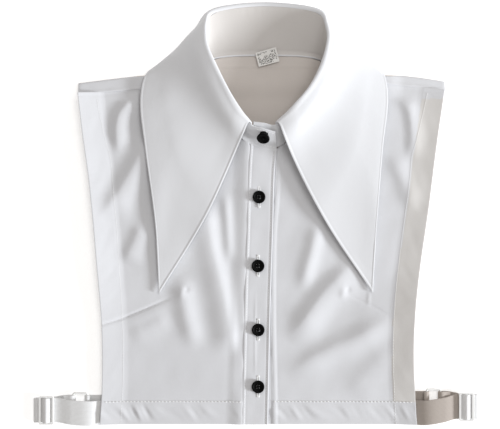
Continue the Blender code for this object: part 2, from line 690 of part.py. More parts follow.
def main():
    clear_scene()
    white = (0.80, 0.80, 0.79)
    right_edges = front_edges(ARMHOLE_RIGHT, BAND_SEAM_RIGHT, SHOULDER_SEAM_RIGHT, COLLAR_RIGHT, -0.6)
    left_edges = front_edges(ARMHOLE_LEFT, BAND_SEAM_LEFT, SHOULDER_SEAM_LEFT, COLLAR_LEFT, 0.6)
    make_back(material("back_cloth", white, 0.85))
    make_front("front_panel_right", right_edges, right_front_bed, material("right_front_cloth", white, 0.85), False)
    make_front("front_panel_left", left_edges, left_front_bed, material("left_front_cloth", white, 0.85), True)
    make_bands(material("placket_cloth", white, 0.85), material("button_band_cloth", white, 0.85))
    make_stand(material("stand_cloth", white, 0.85))
    make_leaf(material("leaf_cloth", (0.83, 0.83, 0.83), 0.85))
    lean = Vector((0.05, -0.56, 0.83)).normalized()
    make_button("button_1", (4.9, 70.8, 16.9), lean, material("button_1_black", (0.02, 0.02, 0.02), 0.35))
    for index, (x, y) in enumerate(BUTTONS_ON_BAND):
        name = f"button_{index + 2}"
        z = front_bed(x, y) + BAND_LIFT + FRONT_CLOTH + BUTTON_LIFT
        make_button(name, (x, y, z), Vector((0, 0, 1)), material(f"{name}_black", (0.02, 0.02, 0.02), 0.35))
    elastic_right = material("elastic_right", (0.72, 0.71, 0.69), 0.8)
    elastic_left = material("elastic_left", (0.72, 0.71, 0.69), 0.8)
    plastic_right = material("slider_right_white", (0.82, 0.82, 0.80), 0.4)
    plastic_left = material("slider_left_white", (0.82, 0.82, 0.80), 0.4)
    make_strap(
        "right", -1, -146.3, 1.5, (-197.1, -183.1, 5.0), (-185.9, -184.6), -165.8, -180.7, (elastic_right, plastic_right)
    )
    make_strap(
        "left", 1, 148.2, -1.6, (195.6, -179.9, 5.0), (-185.6, -181.0), 165.2, -177.2, (elastic_left, plastic_left)
    )
    make_label(material("label_weave", (0.66, 0.66, 0.67), 0.8))


main()
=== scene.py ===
"""Detachable shirt collar with a half shirt front, buttoned and laid flat, dressed over its solids.

+X is the wearer's left, +Y runs from the hem to the back of the collar and +Z is up from the
surface it lies on. Tables and sizes are millimetres; finished meshes are metres.
"""

from __future__ import annotations

import logging
import math
from dataclasses import dataclass, field
from enum import Enum
from functools import lru_cache
from typing import Callable, Mapping, Sequence

import bmesh
import bpy
import numpy as np
from mathutils import Matrix, Vector


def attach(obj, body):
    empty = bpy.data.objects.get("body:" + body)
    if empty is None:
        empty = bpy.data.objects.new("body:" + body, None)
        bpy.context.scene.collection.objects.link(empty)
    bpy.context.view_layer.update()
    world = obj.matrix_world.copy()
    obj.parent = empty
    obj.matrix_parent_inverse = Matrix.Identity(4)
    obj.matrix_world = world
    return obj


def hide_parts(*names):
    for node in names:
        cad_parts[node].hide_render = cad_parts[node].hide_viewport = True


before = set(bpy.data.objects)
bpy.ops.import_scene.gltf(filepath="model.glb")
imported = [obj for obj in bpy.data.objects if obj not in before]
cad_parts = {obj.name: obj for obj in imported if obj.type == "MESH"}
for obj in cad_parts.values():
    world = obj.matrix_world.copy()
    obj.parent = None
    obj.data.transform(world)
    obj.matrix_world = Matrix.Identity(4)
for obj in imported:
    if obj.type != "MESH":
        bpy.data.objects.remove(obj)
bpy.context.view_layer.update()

LOG = logging.getLogger("shirt_collar")
MM = 0.001
BODY = "root"
UP = np.array([0.0, 0.0, 1.0])

Array = np.ndarray
Place = Callable[[Array, Array], Array]
Colour = tuple[float, float, float]

BACK_CLOTH = 1.2
FRONT_CLOTH = 1.4
COLLAR_CLOTH = 1.4
SEAM_GAP = 0.3
ELASTIC = 1.1
HEM_Y = -196.4
HEM_DEPTH = 21.2
ARMHOLE_HEM = 20.0

# Outer edges of the fronts, hem to shoulder seam: x, y.
ARMHOLE_RIGHT = (
    (-147.0, HEM_Y), (-145.1, -164.0), (-144.8, -126.8), (-145.3, -104.9),
    (-149.7, -45.4), (-157.1, 33.6), (-163.0, 77.2), (-166.9, 113.6),
)
ARMHOLE_LEFT = (
    (149.0, HEM_Y), (146.7, -163.1), (145.4, -142.2), (146.2, -98.7),
    (153.7, -37.9), (159.3, 0.5), (167.8, 66.4), (174.6, 116.4),
)
# Seam that joins each front to its band: x, y.
BAND_SEAM_RIGHT = ((-15.2, HEM_Y), (-14.7, -173.3), (-12.4, -70.6), (-10.5, -14.5), (-8.7, 46.2), (-7.9, 66.4))
BAND_SEAM_LEFT = ((16.2, HEM_Y), (16.1, -181.0), (14.5, -86.0), (15.6, -14.5), (18.8, 29.0), (19.4, 62.2))
# Shoulder seams, outside to neck: x, y.
SHOULDER_SEAM_RIGHT = ((-166.9, 113.6), (-149.8, 114.7), (-128.3, 116.4), (-109.6, 117.8), (-57.6, 122.6))
SHOULDER_SEAM_LEFT = ((174.6, 116.4), (151.1, 119.8), (135.2, 121.0), (120.3, 122.6), (71.9, 123.0))
# Line on which the back turns over the shoulders: x, y.
NECK_LEFT_X = -58.0
NECK_RIGHT_X = 72.0
SHOULDER_FOLD = (
    (-168.4, 123.0), (-147.2, 125.7), (-127.0, 128.2), (-108.0, 130.0), (NECK_LEFT_X, 130.3),
    (7.0, 130.4), (NECK_RIGHT_X, 130.3), (117.0, 130.2), (137.7, 129.9), (152.7, 128.2), (176.4, 124.6),
)
# Collar stations from a front edge (0) to the middle of the back (1).
# Columns: station, seam x y z, roll x y z, fall x y z, turn x y z.
COLLAR_RIGHT = (
    (0.00, -7.7, 67.5, 8.3, -6.8, 84.7, 22.0, -18.0, 63.0, 12.5, -46.0, 1.5, 9.0),
    (0.14, -20.8, 75.0, 7.3, -19.0, 102.0, 27.0, -36.0, 86.0, 15.0, -72.0, 45.0, 9.0),
    (0.28, -35.7, 89.0, 6.6, -27.8, 117.0, 29.5, -50.0, 107.0, 16.5, -84.0, 85.0, 9.6),
    (0.42, -50.5, 110.0, 7.2, -36.7, 135.0, 30.5, -60.0, 126.0, 17.0, -88.0, 115.0, 10.6),
    (0.55, -56.9, 126.0, 7.2, -44.4, 153.0, 29.8, -65.0, 150.0, 17.5, -88.0, 142.0, 7.5),
    (0.63, -55.6, 134.5, 5.4, -46.5, 164.0, 28.6, -64.0, 163.0, 14.0, -78.5, 150.0, 2.8),
    (0.71, -49.0, 143.0, 3.3, -47.3, 174.5, 26.5, -57.0, 172.0, 12.5, -65.0, 155.0, 1.4),
    (0.85, -30.0, 148.6, 2.7, -39.0, 188.6, 19.0, -42.0, 189.2, 8.5, -38.0, 165.0, 0.8),
    (1.00, 7.3, 149.5, 2.6, 7.1, 195.6, 12.0, 7.1, 196.6, 5.6, 7.1, 165.0, 0.7),
)
COLLAR_LEFT = (
    (0.00, 19.2, 63.4, 6.9, 17.9, 84.7, 22.0, 30.0, 58.6, 12.5, 60.0, -0.5, 9.0),
    (0.14, 33.3, 73.2, 6.6, 34.6, 102.0, 27.0, 51.0, 86.0, 15.0, 86.0, 45.0, 9.0),
    (0.28, 49.2, 88.6, 6.6, 47.2, 117.0, 29.5, 67.0, 107.0, 16.5, 98.0, 85.0, 9.6),
    (0.42, 64.5, 110.0, 7.2, 56.6, 135.0, 30.5, 77.0, 127.0, 17.0, 102.0, 117.0, 10.6),
    (0.55, 71.0, 126.0, 7.2, 62.1, 153.0, 29.8, 81.0, 154.0, 17.5, 104.0, 144.0, 7.5),
    (0.63, 69.8, 134.5, 5.4, 63.7, 163.0, 28.6, 79.0, 166.0, 14.0, 95.0, 150.0, 2.8),
    (0.71, 63.5, 143.0, 3.3, 63.2, 172.6, 26.5, 72.0, 174.0, 12.5, 82.0, 157.0, 1.4),
    (0.85, 45.0, 148.6, 2.7, 54.8, 188.4, 19.0, 57.5, 189.4, 8.5, 53.0, 165.0, 0.8),
    (1.00, 7.3, 149.5, 2.6, 7.1, 195.6, 12.0, 7.1, 196.6, 5.6, 7.1, 165.0, 0.7),
)
# Outer edge of the leaf, point to back: station, x, y, z.
LEAF_EDGE_RIGHT = (
    (0.00, -91.7, -73.8, 6.6), (0.14, -95.0, -8.0, 8.0), (0.28, -104.0, 60.0, 8.6), (0.42, -108.6, 107.0, 9.2),
    (0.48, -106.6, 122.5, 8.8), (0.52, -103.6, 130.2, 8.2), (0.55, -100.4, 134.4, 5.2), (0.59, -95.4, 134.6, 1.6),
    (0.64, -88.0, 130.5, 0.7), (0.71, -70.0, 128.0, 0.7), (0.85, -33.0, 129.5, 0.7), (1.00, 7.1, 131.0, 0.7),
)
LEAF_EDGE_LEFT = (
    (0.00, 107.6, -72.8, 6.6), (0.14, 111.3, -7.0, 8.0), (0.28, 116.4, 60.0, 8.6), (0.42, 121.2, 107.0, 9.2),
    (0.48, 120.0, 122.5, 8.8), (0.52, 117.6, 130.4, 8.2), (0.55, 114.8, 134.4, 5.2), (0.59, 110.0, 134.6, 1.6),
    (0.64, 102.0, 130.5, 0.7), (0.71, 84.0, 128.0, 0.7), (0.85, 48.0, 129.5, 0.7), (1.00, 7.1, 131.0, 0.7),
)
# The stand runs past the leaf at the front: seam x y z, upper edge x y z, from the free end.
TAB_OVER = ((18.4, 60.2, 9.2, 16.4, 76.2, 19.0), (5.0, 62.6, 9.0, 4.5, 79.6, 20.4))
TAB_UNDER = ((-5.6, 68.6, 7.2, -3.6, 85.4, 19.6), (6.0, 65.6, 7.1, 6.0, 84.2, 19.8))


class Side(Enum):
    """The wearer's side; the value is the sign of X there."""

    RIGHT = -1
    LEFT = 1


class Lay(Enum):
    """Which way a cloth's thickness goes from the surface that its rule gives."""

    BELOW = -1.0
    MIDDLE = 0.0
    ABOVE = 1.0


def soft_step(value: Array | float) -> Array:
    """0 below 0, 1 above 1, smooth between."""
    value = np.clip(value, 0.0, 1.0)
    return value * value * (3.0 - 2.0 * value)


def bell(distance: Array, half: float) -> Array:
    """1 at no distance, falling away over the half width."""
    return np.exp(-((distance / half) ** 2))


@dataclass(frozen=True, eq=False)
class Curve:
    """A smooth curve that passes each row at its knot."""

    rows: Array
    knots: Array
    slopes: Array

    @classmethod
    def through(cls, rows: Sequence[Sequence[float]], knots: Sequence[float] | None = None) -> Curve:
        """Make a curve through rows.

        Args:
            rows: Points, or rows of several points, in order.
            knots: Where each row is met; by distance from 0 to 1 if left out.

        Returns:
            The curve.
        """
        points = np.asarray(rows, float)
        if knots is None:
            steps = np.linalg.norm(np.diff(points, axis=0), axis=1)
            total = np.concatenate([[0.0], np.cumsum(steps)])
            knots = total / total[-1]
        places = np.asarray(knots, float)
        return cls(points, places, np.gradient(points, places, axis=0))

    def at(self, where: Array | float) -> Array:
        """Rows of the curve at one or many places.

        Args:
            where: Places between the first and last knot.

        Returns:
            One row for each place.
        """
        where = np.asarray(where, float)
        index = np.clip(np.searchsorted(self.knots, where, side="right") - 1, 0, len(self.knots) - 2)
        step = self.knots[index + 1] - self.knots[index]
        share = ((where - self.knots[index]) / step)[..., None]
        step = step[..., None]
        start = 2 * share**3 - 3 * share**2 + 1
        lead = (share**3 - 2 * share**2 + share) * step
        trail = (share**3 - share**2) * step
        low, high = self.rows[index], self.rows[index + 1]
        return low * start + self.slopes[index] * lead + high * (1 - start) + self.slopes[index + 1] * trail


def nearest_on(line: Array, x: Array, y: Array) -> tuple[Array, Array, Array]:
    """Nearest place of a broken line to many points.

    Args:
        line: Corners of the line, x and y.
        x: Places across, in millimetres.
        y: Places up.

    Returns:
        Distance, share of the line at the nearest place, and a value above 0 on the line's right.
    """
    nearest = np.full(np.shape(x), 1e9)
    run = np.zeros(np.shape(x))
    turn = np.zeros(np.shape(x))
    steps = len(line) - 1
    for index in range(steps):
        (ax, ay), (bx, by) = line[index][:2], line[index + 1][:2]
        dx, dy = bx - ax, by - ay
        share = np.clip(((x - ax) * dx + (y - ay) * dy) / (dx * dx + dy * dy), 0.0, 1.0)
        ex, ey = x - ax - share * dx, y - ay - share * dy
        distance = np.hypot(ex, ey)
        closer = distance < nearest
        nearest = np.where(closer, distance, nearest)
        run = np.where(closer, (index + share) / steps, run)
        turn = np.where(closer, ex * dy - ey * dx, turn)
    return nearest, run, turn


@dataclass(frozen=True)
class Crease:
    """A soft ridge along a short line of points, or a trough where its height is negative."""

    path: tuple[tuple[float, float], ...]
    half: float
    height: float
    steep: float = 1.0
    tail: float = 0.3

    def rise(self, x: Array, y: Array) -> Array:
        """Height that this crease adds.

        Args:
            x: Places across, in millimetres.
            y: Places up.

        Returns:
            Rise in millimetres at each place.
        """
        line = Curve.through(self.path).at(np.linspace(0.0, 1.0, 21))
        nearest, run, turn = nearest_on(line, x, y)
        ends = soft_step(run / self.tail) * soft_step((1.0 - run) / self.tail)
        width = np.where(turn > 0, self.half * self.steep, self.half)
        return self.height * ends * np.exp(-((nearest / width) ** 2))


def creases_rise(creases: Sequence[Crease], x: Array, y: Array) -> Array:
    """Rise of several creases together."""
    total = np.zeros(np.shape(x))
    for crease in creases:
        total = total + crease.rise(x, y)
    return total


@dataclass(frozen=True)
class Crumple:
    """Faint unevenness of pressed cotton: a few long waves in odd directions."""

    seed: int
    height: float = 0.12
    shortest: float = 14.0
    longest: float = 60.0
    waves: int = 9

    def rise(self, x: Array, y: Array) -> Array:
        """Rise in millimetres at each place."""
        draws = np.random.default_rng(self.seed)
        total = np.zeros(np.shape(x))
        for _ in range(self.waves):
            length = draws.uniform(self.shortest, self.longest)
            angle = draws.uniform(0.0, 2 * math.pi)
            phase = draws.uniform(0.0, 2 * math.pi)
            turned = x * math.cos(angle) + y * math.sin(angle)
            total = total + length / self.longest * np.sin(2 * math.pi * turned / length + phase)
        return self.height * total


class Value:
    """A shader socket that takes arithmetic as a number does."""

    def __init__(self, graph: Graph, socket: bpy.types.NodeSocket) -> None:
        """Wrap one output socket of a graph."""
        self.graph = graph
        self.socket = socket

    def math(self, operation: str, *others: Value | float) -> Value:
        """Result of one Math node on this value and others."""
        inputs = {0: self, **{index + 1: other for index, other in enumerate(others)}}
        return self.graph.value("ShaderNodeMath", {"operation": operation}, inputs)

    def __add__(self, other: Value | float) -> Value:
        """Sum."""
        return self.math("ADD", other)

    def __radd__(self, other: float) -> Value:
        """Sum."""
        return self.math("ADD", other)

    def __sub__(self, other: Value | float) -> Value:
        """Difference."""
        return self.math("SUBTRACT", other)

    def __rsub__(self, other: float) -> Value:
        """Difference from a number."""
        return self.graph.value("ShaderNodeMath", {"operation": "SUBTRACT"}, {0: other, 1: self})

    def __mul__(self, other: Value | float) -> Value:
        """Product."""
        return self.math("MULTIPLY", other)

    def __rmul__(self, other: float) -> Value:
        """Product."""
        return self.math("MULTIPLY", other)

    def above(self, edge: float, soft: float) -> Value:
        """0 below an edge and 1 above it, over a soft width."""
        settings = {"interpolation_type": "SMOOTHSTEP"}
        return self.graph.value("ShaderNodeMapRange", settings, {0: self, 1: edge - soft, 2: edge + soft})


class Graph:
    """The nodes of one material."""

    def __init__(self, name: str) -> None:
        """Start a material with only its output."""
        self.material = bpy.data.materials.new(name)
        self.material.use_nodes = True
        self.tree = self.material.node_tree
        self.tree.nodes.clear()
        self.output = self.tree.nodes.new("ShaderNodeOutputMaterial")

    def node(
        self, kind: str, settings: Mapping[str, object] | None = None, inputs: Mapping[str | int, object] | None = None
    ) -> bpy.types.Node:
        """Add one node.

        Args:
            kind: The node's type.
            settings: Its properties; "stops" gives a ramp's positions and colours.
            inputs: Values or links of its sockets, by name or number.

        Returns:
            The node.
        """
        made = self.tree.nodes.new(kind)
        for key, setting in (settings or {}).items():
            if key == "stops":
                for index, (position, colour) in enumerate(setting):
                    stops = made.color_ramp.elements
                    stop = stops[index] if index < len(stops) else stops.new(position)
                    stop.position = position
                    stop.color = (*colour, 1.0)
            else:
                setattr(made, key, setting)
        for key, given in (inputs or {}).items():
            socket = made.inputs[key]
            if isinstance(given, Value):
                self.tree.links.new(given.socket, socket)
            elif isinstance(given, bpy.types.NodeSocket):
                self.tree.links.new(given, socket)
            elif isinstance(given, tuple) and len(given) == 3 and socket.type == "RGBA":
                socket.default_value = (*given, 1.0)
            else:
                socket.default_value = given
        return made

    def value(
        self,
        kind: str,
        settings: Mapping[str, object] | None = None,
        inputs: Mapping[str | int, object] | None = None,
        output: str | int = 0,
    ) -> Value:
        """Add one node and wrap one of its outputs."""
        return Value(self, self.node(kind, settings, inputs).outputs[output])

    def mix(self, factor: Value | float, low: object, high: object) -> Value:
        """Blend two colours by a factor."""
        settings = {"data_type": "RGBA"}
        return self.value("ShaderNodeMix", settings, {0: factor, 6: low, 7: high}, 2)

    def split(self, vector: Value) -> tuple[Value, Value, Value]:
        """The three parts of a vector."""
        node = self.node("ShaderNodeSeparateXYZ", None, {0: vector})
        return Value(self, node.outputs[0]), Value(self, node.outputs[1]), Value(self, node.outputs[2])

    def weave_map(self) -> Value:
        """The cloth's own map, in metres of cloth."""
        return self.value("ShaderNodeUVMap", {"uv_map": "weave"})

    def in_place(self) -> Value:
        """Object coordinates."""
        return self.value("ShaderNodeTexCoord", None, None, "Object")

    def noise(self, where: Value, scale: float, detail: float = 2.0, stretch: Colour = (1.0, 1.0, 1.0)) -> Value:
        """Noise from 0 to 1, stretched along an axis if asked."""
        if stretch != (1.0, 1.0, 1.0):
            where = self.value("ShaderNodeMapping", None, {"Vector": where, "Scale": stretch})
        return self.value("ShaderNodeTexNoise", None, {"Vector": where, "Scale": scale, "Detail": detail})

    def bump(self, height: Value, strength: float, distance: float, under: Value | None = None) -> Value:
        """Bumped normal."""
        inputs: dict[str | int, object] = {"Height": height, "Strength": strength, "Distance": distance}
        if under is not None:
            inputs["Normal"] = under
        return self.value("ShaderNodeBump", None, inputs)

    def finish(self, inputs: Mapping[str, object]) -> bpy.types.Material:
        """Close the material with one Principled shader."""
        shader = self.node("ShaderNodeBsdfPrincipled", None, inputs)
        self.tree.links.new(shader.outputs[0], self.output.inputs["Surface"])
        return self.material


@dataclass(frozen=True)
class Cotton:
    """Plain-woven shirt cotton: fine threads, uneven yarn, a faint pressed sheen."""

    name: str
    colour: Colour
    # Darker colour: partly painted shade in the weave's dips, partly uneven yarn tone.
    dip: Colour
    pitch: float = 0.36
    relief: float = 0.05
    roughness: float = 0.86
    sheen: float = 0.15

    def make(self) -> bpy.types.Material:
        """Build the material."""
        graph = Graph(self.name)
        across, along, _ = graph.split(graph.weave_map())
        turn = 2 * math.pi / (self.pitch * MM)
        warp = (across * turn).math("SINE")
        weft = (along * turn).math("SINE")
        weave = warp * weft * 0.5 + 0.5
        yarn_up = graph.noise(graph.weave_map(), 1.0, 3.0, (2600.0, 60.0, 1.0))
        yarn_over = graph.noise(graph.weave_map(), 1.0, 3.0, (60.0, 2600.0, 1.0))
        yarn = (yarn_up + yarn_over) * 0.5
        cloudy = graph.noise(graph.weave_map(), 38.0, 4.0)
        # Colour follows the weave and yarn height: painted shade in the weave's dips, plus uneven yarn tone and
        # cloudiness.
        tone = (weave * 0.35 + yarn * 0.4 + cloudy * 0.45).above(0.55, 0.45)
        colour = graph.mix(tone, self.dip, self.colour)
        wrinkle = graph.bump(graph.noise(graph.weave_map(), 120.0, 5.0), 0.25, 0.00025)
        normal = graph.bump(weave * 0.6 + yarn * 0.4, 0.6, self.relief * MM, wrinkle)
        return graph.finish(
            {
                "Base Color": colour,
                "Roughness": yarn * 0.14 + (self.roughness - 0.07),
                "Normal": normal,
                "Sheen Weight": self.sheen,
                "Sheen Roughness": 0.45,
                "Specular IOR Level": 0.3,
            }
        )


@dataclass(frozen=True)
class Webbing:
    """Woven elastic: cords along its length with the weft pulled in between them."""

    name: str
    colour: Colour
    dip: Colour
    cord: float = 1.15
    weft: float = 0.55

    def make(self) -> bpy.types.Material:
        """Build the material."""
        graph = Graph(self.name)
        along, across, _ = graph.split(graph.weave_map())
        cords = (across * (2 * math.pi / (self.cord * MM))).math("SINE") * 0.5 + 0.5
        weft = (along * (2 * math.pi / (self.weft * MM))).math("SINE") * 0.5 + 0.5
        fluff = graph.noise(graph.weave_map(), 900.0, 4.0)
        height = cords * 0.55 + weft * 0.25 + fluff * 0.2
        # Low parts between the cords take the darker colour: painted shade in the grooves, plus random fluff tone.
        colour = graph.mix(height.above(0.5, 0.4), self.dip, self.colour)
        return graph.finish(
            {
                "Base Color": colour,
                "Roughness": fluff * 0.16 + 0.72,
                "Normal": graph.bump(height, 0.8, 0.00022),
                "Sheen Weight": 0.1,
                "Specular IOR Level": 0.35,
            }
        )


@dataclass(frozen=True)
class Thread:
    """Sewing thread: a fine twist round its length."""

    name: str
    colour: Colour
    dip: Colour
    sheen: float = 0.1
    gloss: float = 0.5

    def make(self) -> bpy.types.Material:
        """Build the material."""
        graph = Graph(self.name)
        twist = graph.noise(graph.in_place(), 5200.0, 2.0)
        # The twist's low parts take the darker colour: painted shade along the twist.
        return graph.finish(
            {
                "Base Color": graph.mix(twist.above(0.5, 0.25), self.dip, self.colour),
                "Roughness": twist * 0.2 + 0.5,
                "Normal": graph.bump(twist, 0.5, 0.00008),
                "Sheen Weight": self.sheen,
                "Specular IOR Level": self.gloss,
            }
        )


@dataclass(frozen=True)
class Moulded:
    """Moulded plastic with a faint orange peel and handling marks in its gloss."""

    name: str
    colour: Colour
    dip: Colour
    roughness: float
    gloss: float = 0.5
    peel: float = 0.02

    def make(self) -> bpy.types.Material:
        """Build the material."""
        graph = Graph(self.name)
        place = graph.in_place()
        peel = graph.noise(place, 900.0, 2.0)
        rub = graph.noise(place, 260.0, 5.0)
        colour = graph.mix(rub.above(0.62, 0.16), self.colour, self.dip)
        return graph.finish(
            {
                "Base Color": colour,
                "Roughness": rub * 0.22 + (self.roughness - 0.11),
                "Normal": graph.bump(peel, 0.4, self.peel * MM),
                "Specular IOR Level": self.gloss,
            }
        )


@dataclass(frozen=True)
class PrintedTape:
    """Pale tape with a small dark sprig print."""

    name: str
    colour: Colour
    print_colour: Colour
    sprig: float = 5.6

    def make(self) -> bpy.types.Material:
        """Build the material."""
        graph = Graph(self.name)
        where = graph.weave_map()
        wobble = graph.noise(where, 700.0, 3.0)
        inputs = {"Vector": where, "Scale": 1.0 / (self.sprig * MM), "Randomness": 0.95}
        cell = graph.value("ShaderNodeTexVoronoi", {"voronoi_dimensions": "2D"}, inputs)
        sprig = 1.0 - (cell + wobble * 0.3 - 0.15).above(0.54, 0.05)
        petals = graph.noise(where, 1150.0, 1.0).above(0.52, 0.03)
        across, along, _ = graph.split(where)
        inside = 1.0 - (across - 0.010).math("ABSOLUTE").above(0.0087, 0.0003)
        inside = inside * (1.0 - (along - 0.0067).math("ABSOLUTE").above(0.0055, 0.0003))
        ink = sprig * petals * inside
        ribs = (along * (2 * math.pi / (0.32 * MM))).math("SINE") * (across * (2 * math.pi / (0.32 * MM))).math("SINE")
        return graph.finish(
            {
                "Base Color": graph.mix(ink, self.colour, self.print_colour),
                "Roughness": wobble * 0.1 + 0.62,
                "Normal": graph.bump(ribs * 0.5 + 0.5, 0.5, 0.00006),
                "Sheen Weight": 0.1,
            }
        )


@dataclass(frozen=True)
class Paper:
    """Plain pale floor."""

    name: str
    colour: Colour

    def make(self) -> bpy.types.Material:
        """Build the material."""
        graph = Graph(self.name)
        grain = graph.noise(graph.in_place(), 220.0, 3.0)
        shade = tuple(part * 0.985 for part in self.colour)
        return graph.finish(
            {
                "Base Color": graph.mix(grain, shade, self.colour),
                "Roughness": 0.9,
                "Emission Color": (1.0, 1.0, 1.0),
                "Emission Strength": 0.38,
            }
        )


def settle(name: str, data: bmesh.types.BMesh, finish: bpy.types.Material, smooth: bool = True) -> bpy.types.Object:
    """Write a bmesh in millimetres as a piece in metres that rides on the body.

    Args:
        name: The piece's name.
        data: The bmesh, freed here.
        finish: Its material.
        smooth: Smooth shading.

    Returns:
        The piece.
    """
    bmesh.ops.scale(data, vec=(MM, MM, MM), verts=data.verts)
    mesh = bpy.data.meshes.new(name)
    data.to_mesh(mesh)
    data.free()
    mesh.polygons.foreach_set("use_smooth", [smooth] * len(mesh.polygons))
    mesh.materials.append(finish)
    piece = bpy.data.objects.new(name, mesh)
    bpy.context.scene.collection.objects.link(piece)
    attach(piece, BODY)
    return piece


def crowd_ends(share: Array | float, crowd: float) -> Array:
    """Shares from 0 to 1 moved towards both ends, not at all for crowd 0."""
    return (1.0 - crowd) * share + crowd * (0.5 - 0.5 * np.cos(math.pi * share))


def add_patch(
    data: bmesh.types.BMesh, place: Place, cells: tuple[int, int], span: tuple[float, float], crowd: float = 0.0
) -> None:
    """Add a grid of cloth, its corners where a rule puts them and its map in metres of cloth.

    Args:
        data: The bmesh that takes it.
        place: Gives the points in millimetres for shares across and up.
        cells: Cells across and up.
        span: Size of the cloth in millimetres, for the weave.
        crowd: How far the columns crowd towards both sides, 0 to 1.
    """
    weave = data.loops.layers.uv.get("weave") or data.loops.layers.uv.new("weave")
    old_faces = len(data.faces)
    made = bmesh.ops.create_grid(data, x_segments=cells[0], y_segments=cells[1], size=0.5, calc_uvs=True)
    shares = np.array([vert.co[:2] for vert in made["verts"]]) + 0.5
    for vert, point in zip(made["verts"], place(crowd_ends(shares[:, 0], crowd), shares[:, 1])):
        vert.co = point
    data.faces.ensure_lookup_table()
    wide, high = span[0] * MM, span[1] * MM
    for face in data.faces[old_faces:]:
        for loop in face.loops:
            u, v = loop[weave].uv
            loop[weave].uv = (float(crowd_ends(u, crowd)) * wide, v * high)


def paint(piece: bpy.types.Object, finish: bpy.types.Material, chosen: Callable[[Array, Array, Array], Array]) -> None:
    """Give some faces of a piece a second finish.

    Args:
        piece: The piece.
        finish: The second finish.
        chosen: Tells for face centres in millimetres which take it.
    """
    piece.data.materials.append(finish)
    count = len(piece.data.polygons)
    middles = np.zeros(count * 3, np.float32)
    piece.data.polygons.foreach_get("center", middles)
    x, y, z = middles.reshape(count, 3).T / MM
    piece.data.polygons.foreach_set("material_index", chosen(x, y, z).astype(np.int32))


def give_wall(piece: bpy.types.Object, thick: float, lay: Lay, edge: float = 0.32) -> None:
    """Give a surface its cloth's thickness and soft edges.

    Args:
        piece: The surface.
        thick: Thickness in millimetres.
        lay: Where the thickness goes.
        edge: Radius of the rounded edges in millimetres.
    """
    wall = piece.modifiers.new("cloth", "SOLIDIFY")
    wall.thickness = thick * MM
    wall.offset = lay.value
    wall.use_rim = True
    wall.use_even_offset = False
    soft = piece.modifiers.new("edge", "BEVEL")
    soft.width = min(edge, 0.45 * thick) * MM
    soft.segments = 2
    soft.limit_method = "ANGLE"
    soft.angle_limit = math.radians(55.0)
    soft.harden_normals = False


def lay_cloth(
    name: str,
    place: Place,
    cells: tuple[int, int],
    span: tuple[float, float],
    wall: tuple[float, Lay],
    finish: bpy.types.Material,
    crowd: float = 0.0,
) -> bpy.types.Object:
    """One piece of cloth from one grid.

    Args:
        name: The piece's name.
        place: Its rule.
        cells: Cells across and up.
        span: Cloth size in millimetres.
        wall: Thickness and where it goes.
        finish: Its material.
        crowd: How far the columns crowd towards both sides.

    Returns:
        The piece.
    """
    data = bmesh.new()
    add_patch(data, place, cells, span, crowd)
    piece = settle(name, data, finish)
    give_wall(piece, *wall)
    return piece


def stack(x: Array, y: Array, z: Array) -> Array:
    """Three columns as points."""
    return np.stack(np.broadcast_arrays(x, y, z), axis=-1)


@dataclass(frozen=True)
class Seam:
    """A row of stitches along a line that lies on a surface."""

    length: float = 2.1
    pitch: float = 3.0
    width: float = 0.5
    height: float = 0.34
    lift: float = 0.1
    seed: int = 3

    def places(self, points: Array, upward: Array | None = None) -> list[Matrix]:
        """Where the stitches of a line go.

        Args:
            points: The line, in millimetres.
            upward: The surface's normal at each point; straight up if left out.

        Returns:
            One placing for each stitch.
        """
        draws = np.random.default_rng(self.seed)
        run = np.concatenate([[0.0], np.cumsum(np.linalg.norm(np.diff(points, axis=0), axis=1))])
        count = max(1, int(run[-1] / self.pitch))
        made = []
        for index in range(count):
            middle = (index + 0.5) * run[-1] / count
            here, ahead = (
                np.array([np.interp(middle + shift, run, points[:, axis]) for axis in range(3)])
                for shift in (-0.3, 0.3)
            )
            tangent = Vector(ahead - here).normalized()
            normal = Vector((0.0, 0.0, 1.0))
            if upward is not None:
                normal = Vector([np.interp(middle, run, upward[:, axis]) for axis in range(3)])
            side = normal.cross(tangent).normalized()
            side = (side + 0.12 * float(draws.normal()) * tangent).normalized()
            normal = tangent.cross(side).normalized()
            turn = Matrix((tangent, side, normal)).transposed().to_4x4()
            centre = Vector((here + ahead) / 2) + normal * self.lift
            made.append(
                Matrix.Translation(centre) @ turn @ Matrix.Diagonal((self.length / 2, self.width / 2, self.height, 1.0))
            )
        return made


def sew(name: str, places: Sequence[Matrix], finish: bpy.types.Material) -> bpy.types.Object:
    """Make a piece of many stitches from one stitch.

    Args:
        name: The piece's name.
        places: Where each stitch goes, in millimetres.
        finish: The thread.

    Returns:
        The piece.
    """
    data = bmesh.new()
    bmesh.ops.create_uvsphere(data, u_segments=8, v_segments=5, radius=1.0)
    one = settle(name, data, finish)
    corners = np.array([vert.co for vert in one.data.vertices]) / MM
    row = one.modifiers.new("row", "ARRAY")
    row.count = len(places)
    bpy.context.view_layer.update()
    many = bpy.data.meshes.new_from_object(one.evaluated_get(bpy.context.evaluated_depsgraph_get()))
    one.modifiers.clear()
    spots = np.array(places)
    placed = np.einsum("nij,vj->nvi", spots[:, :3, :3], corners) + spots[:, None, :3, 3]
    many.vertices.foreach_set("co", (placed.reshape(-1) * MM).astype(np.float32))
    many.update()
    old, one.data = one.data, many
    bpy.data.meshes.remove(old)
    many.name = name
    return one


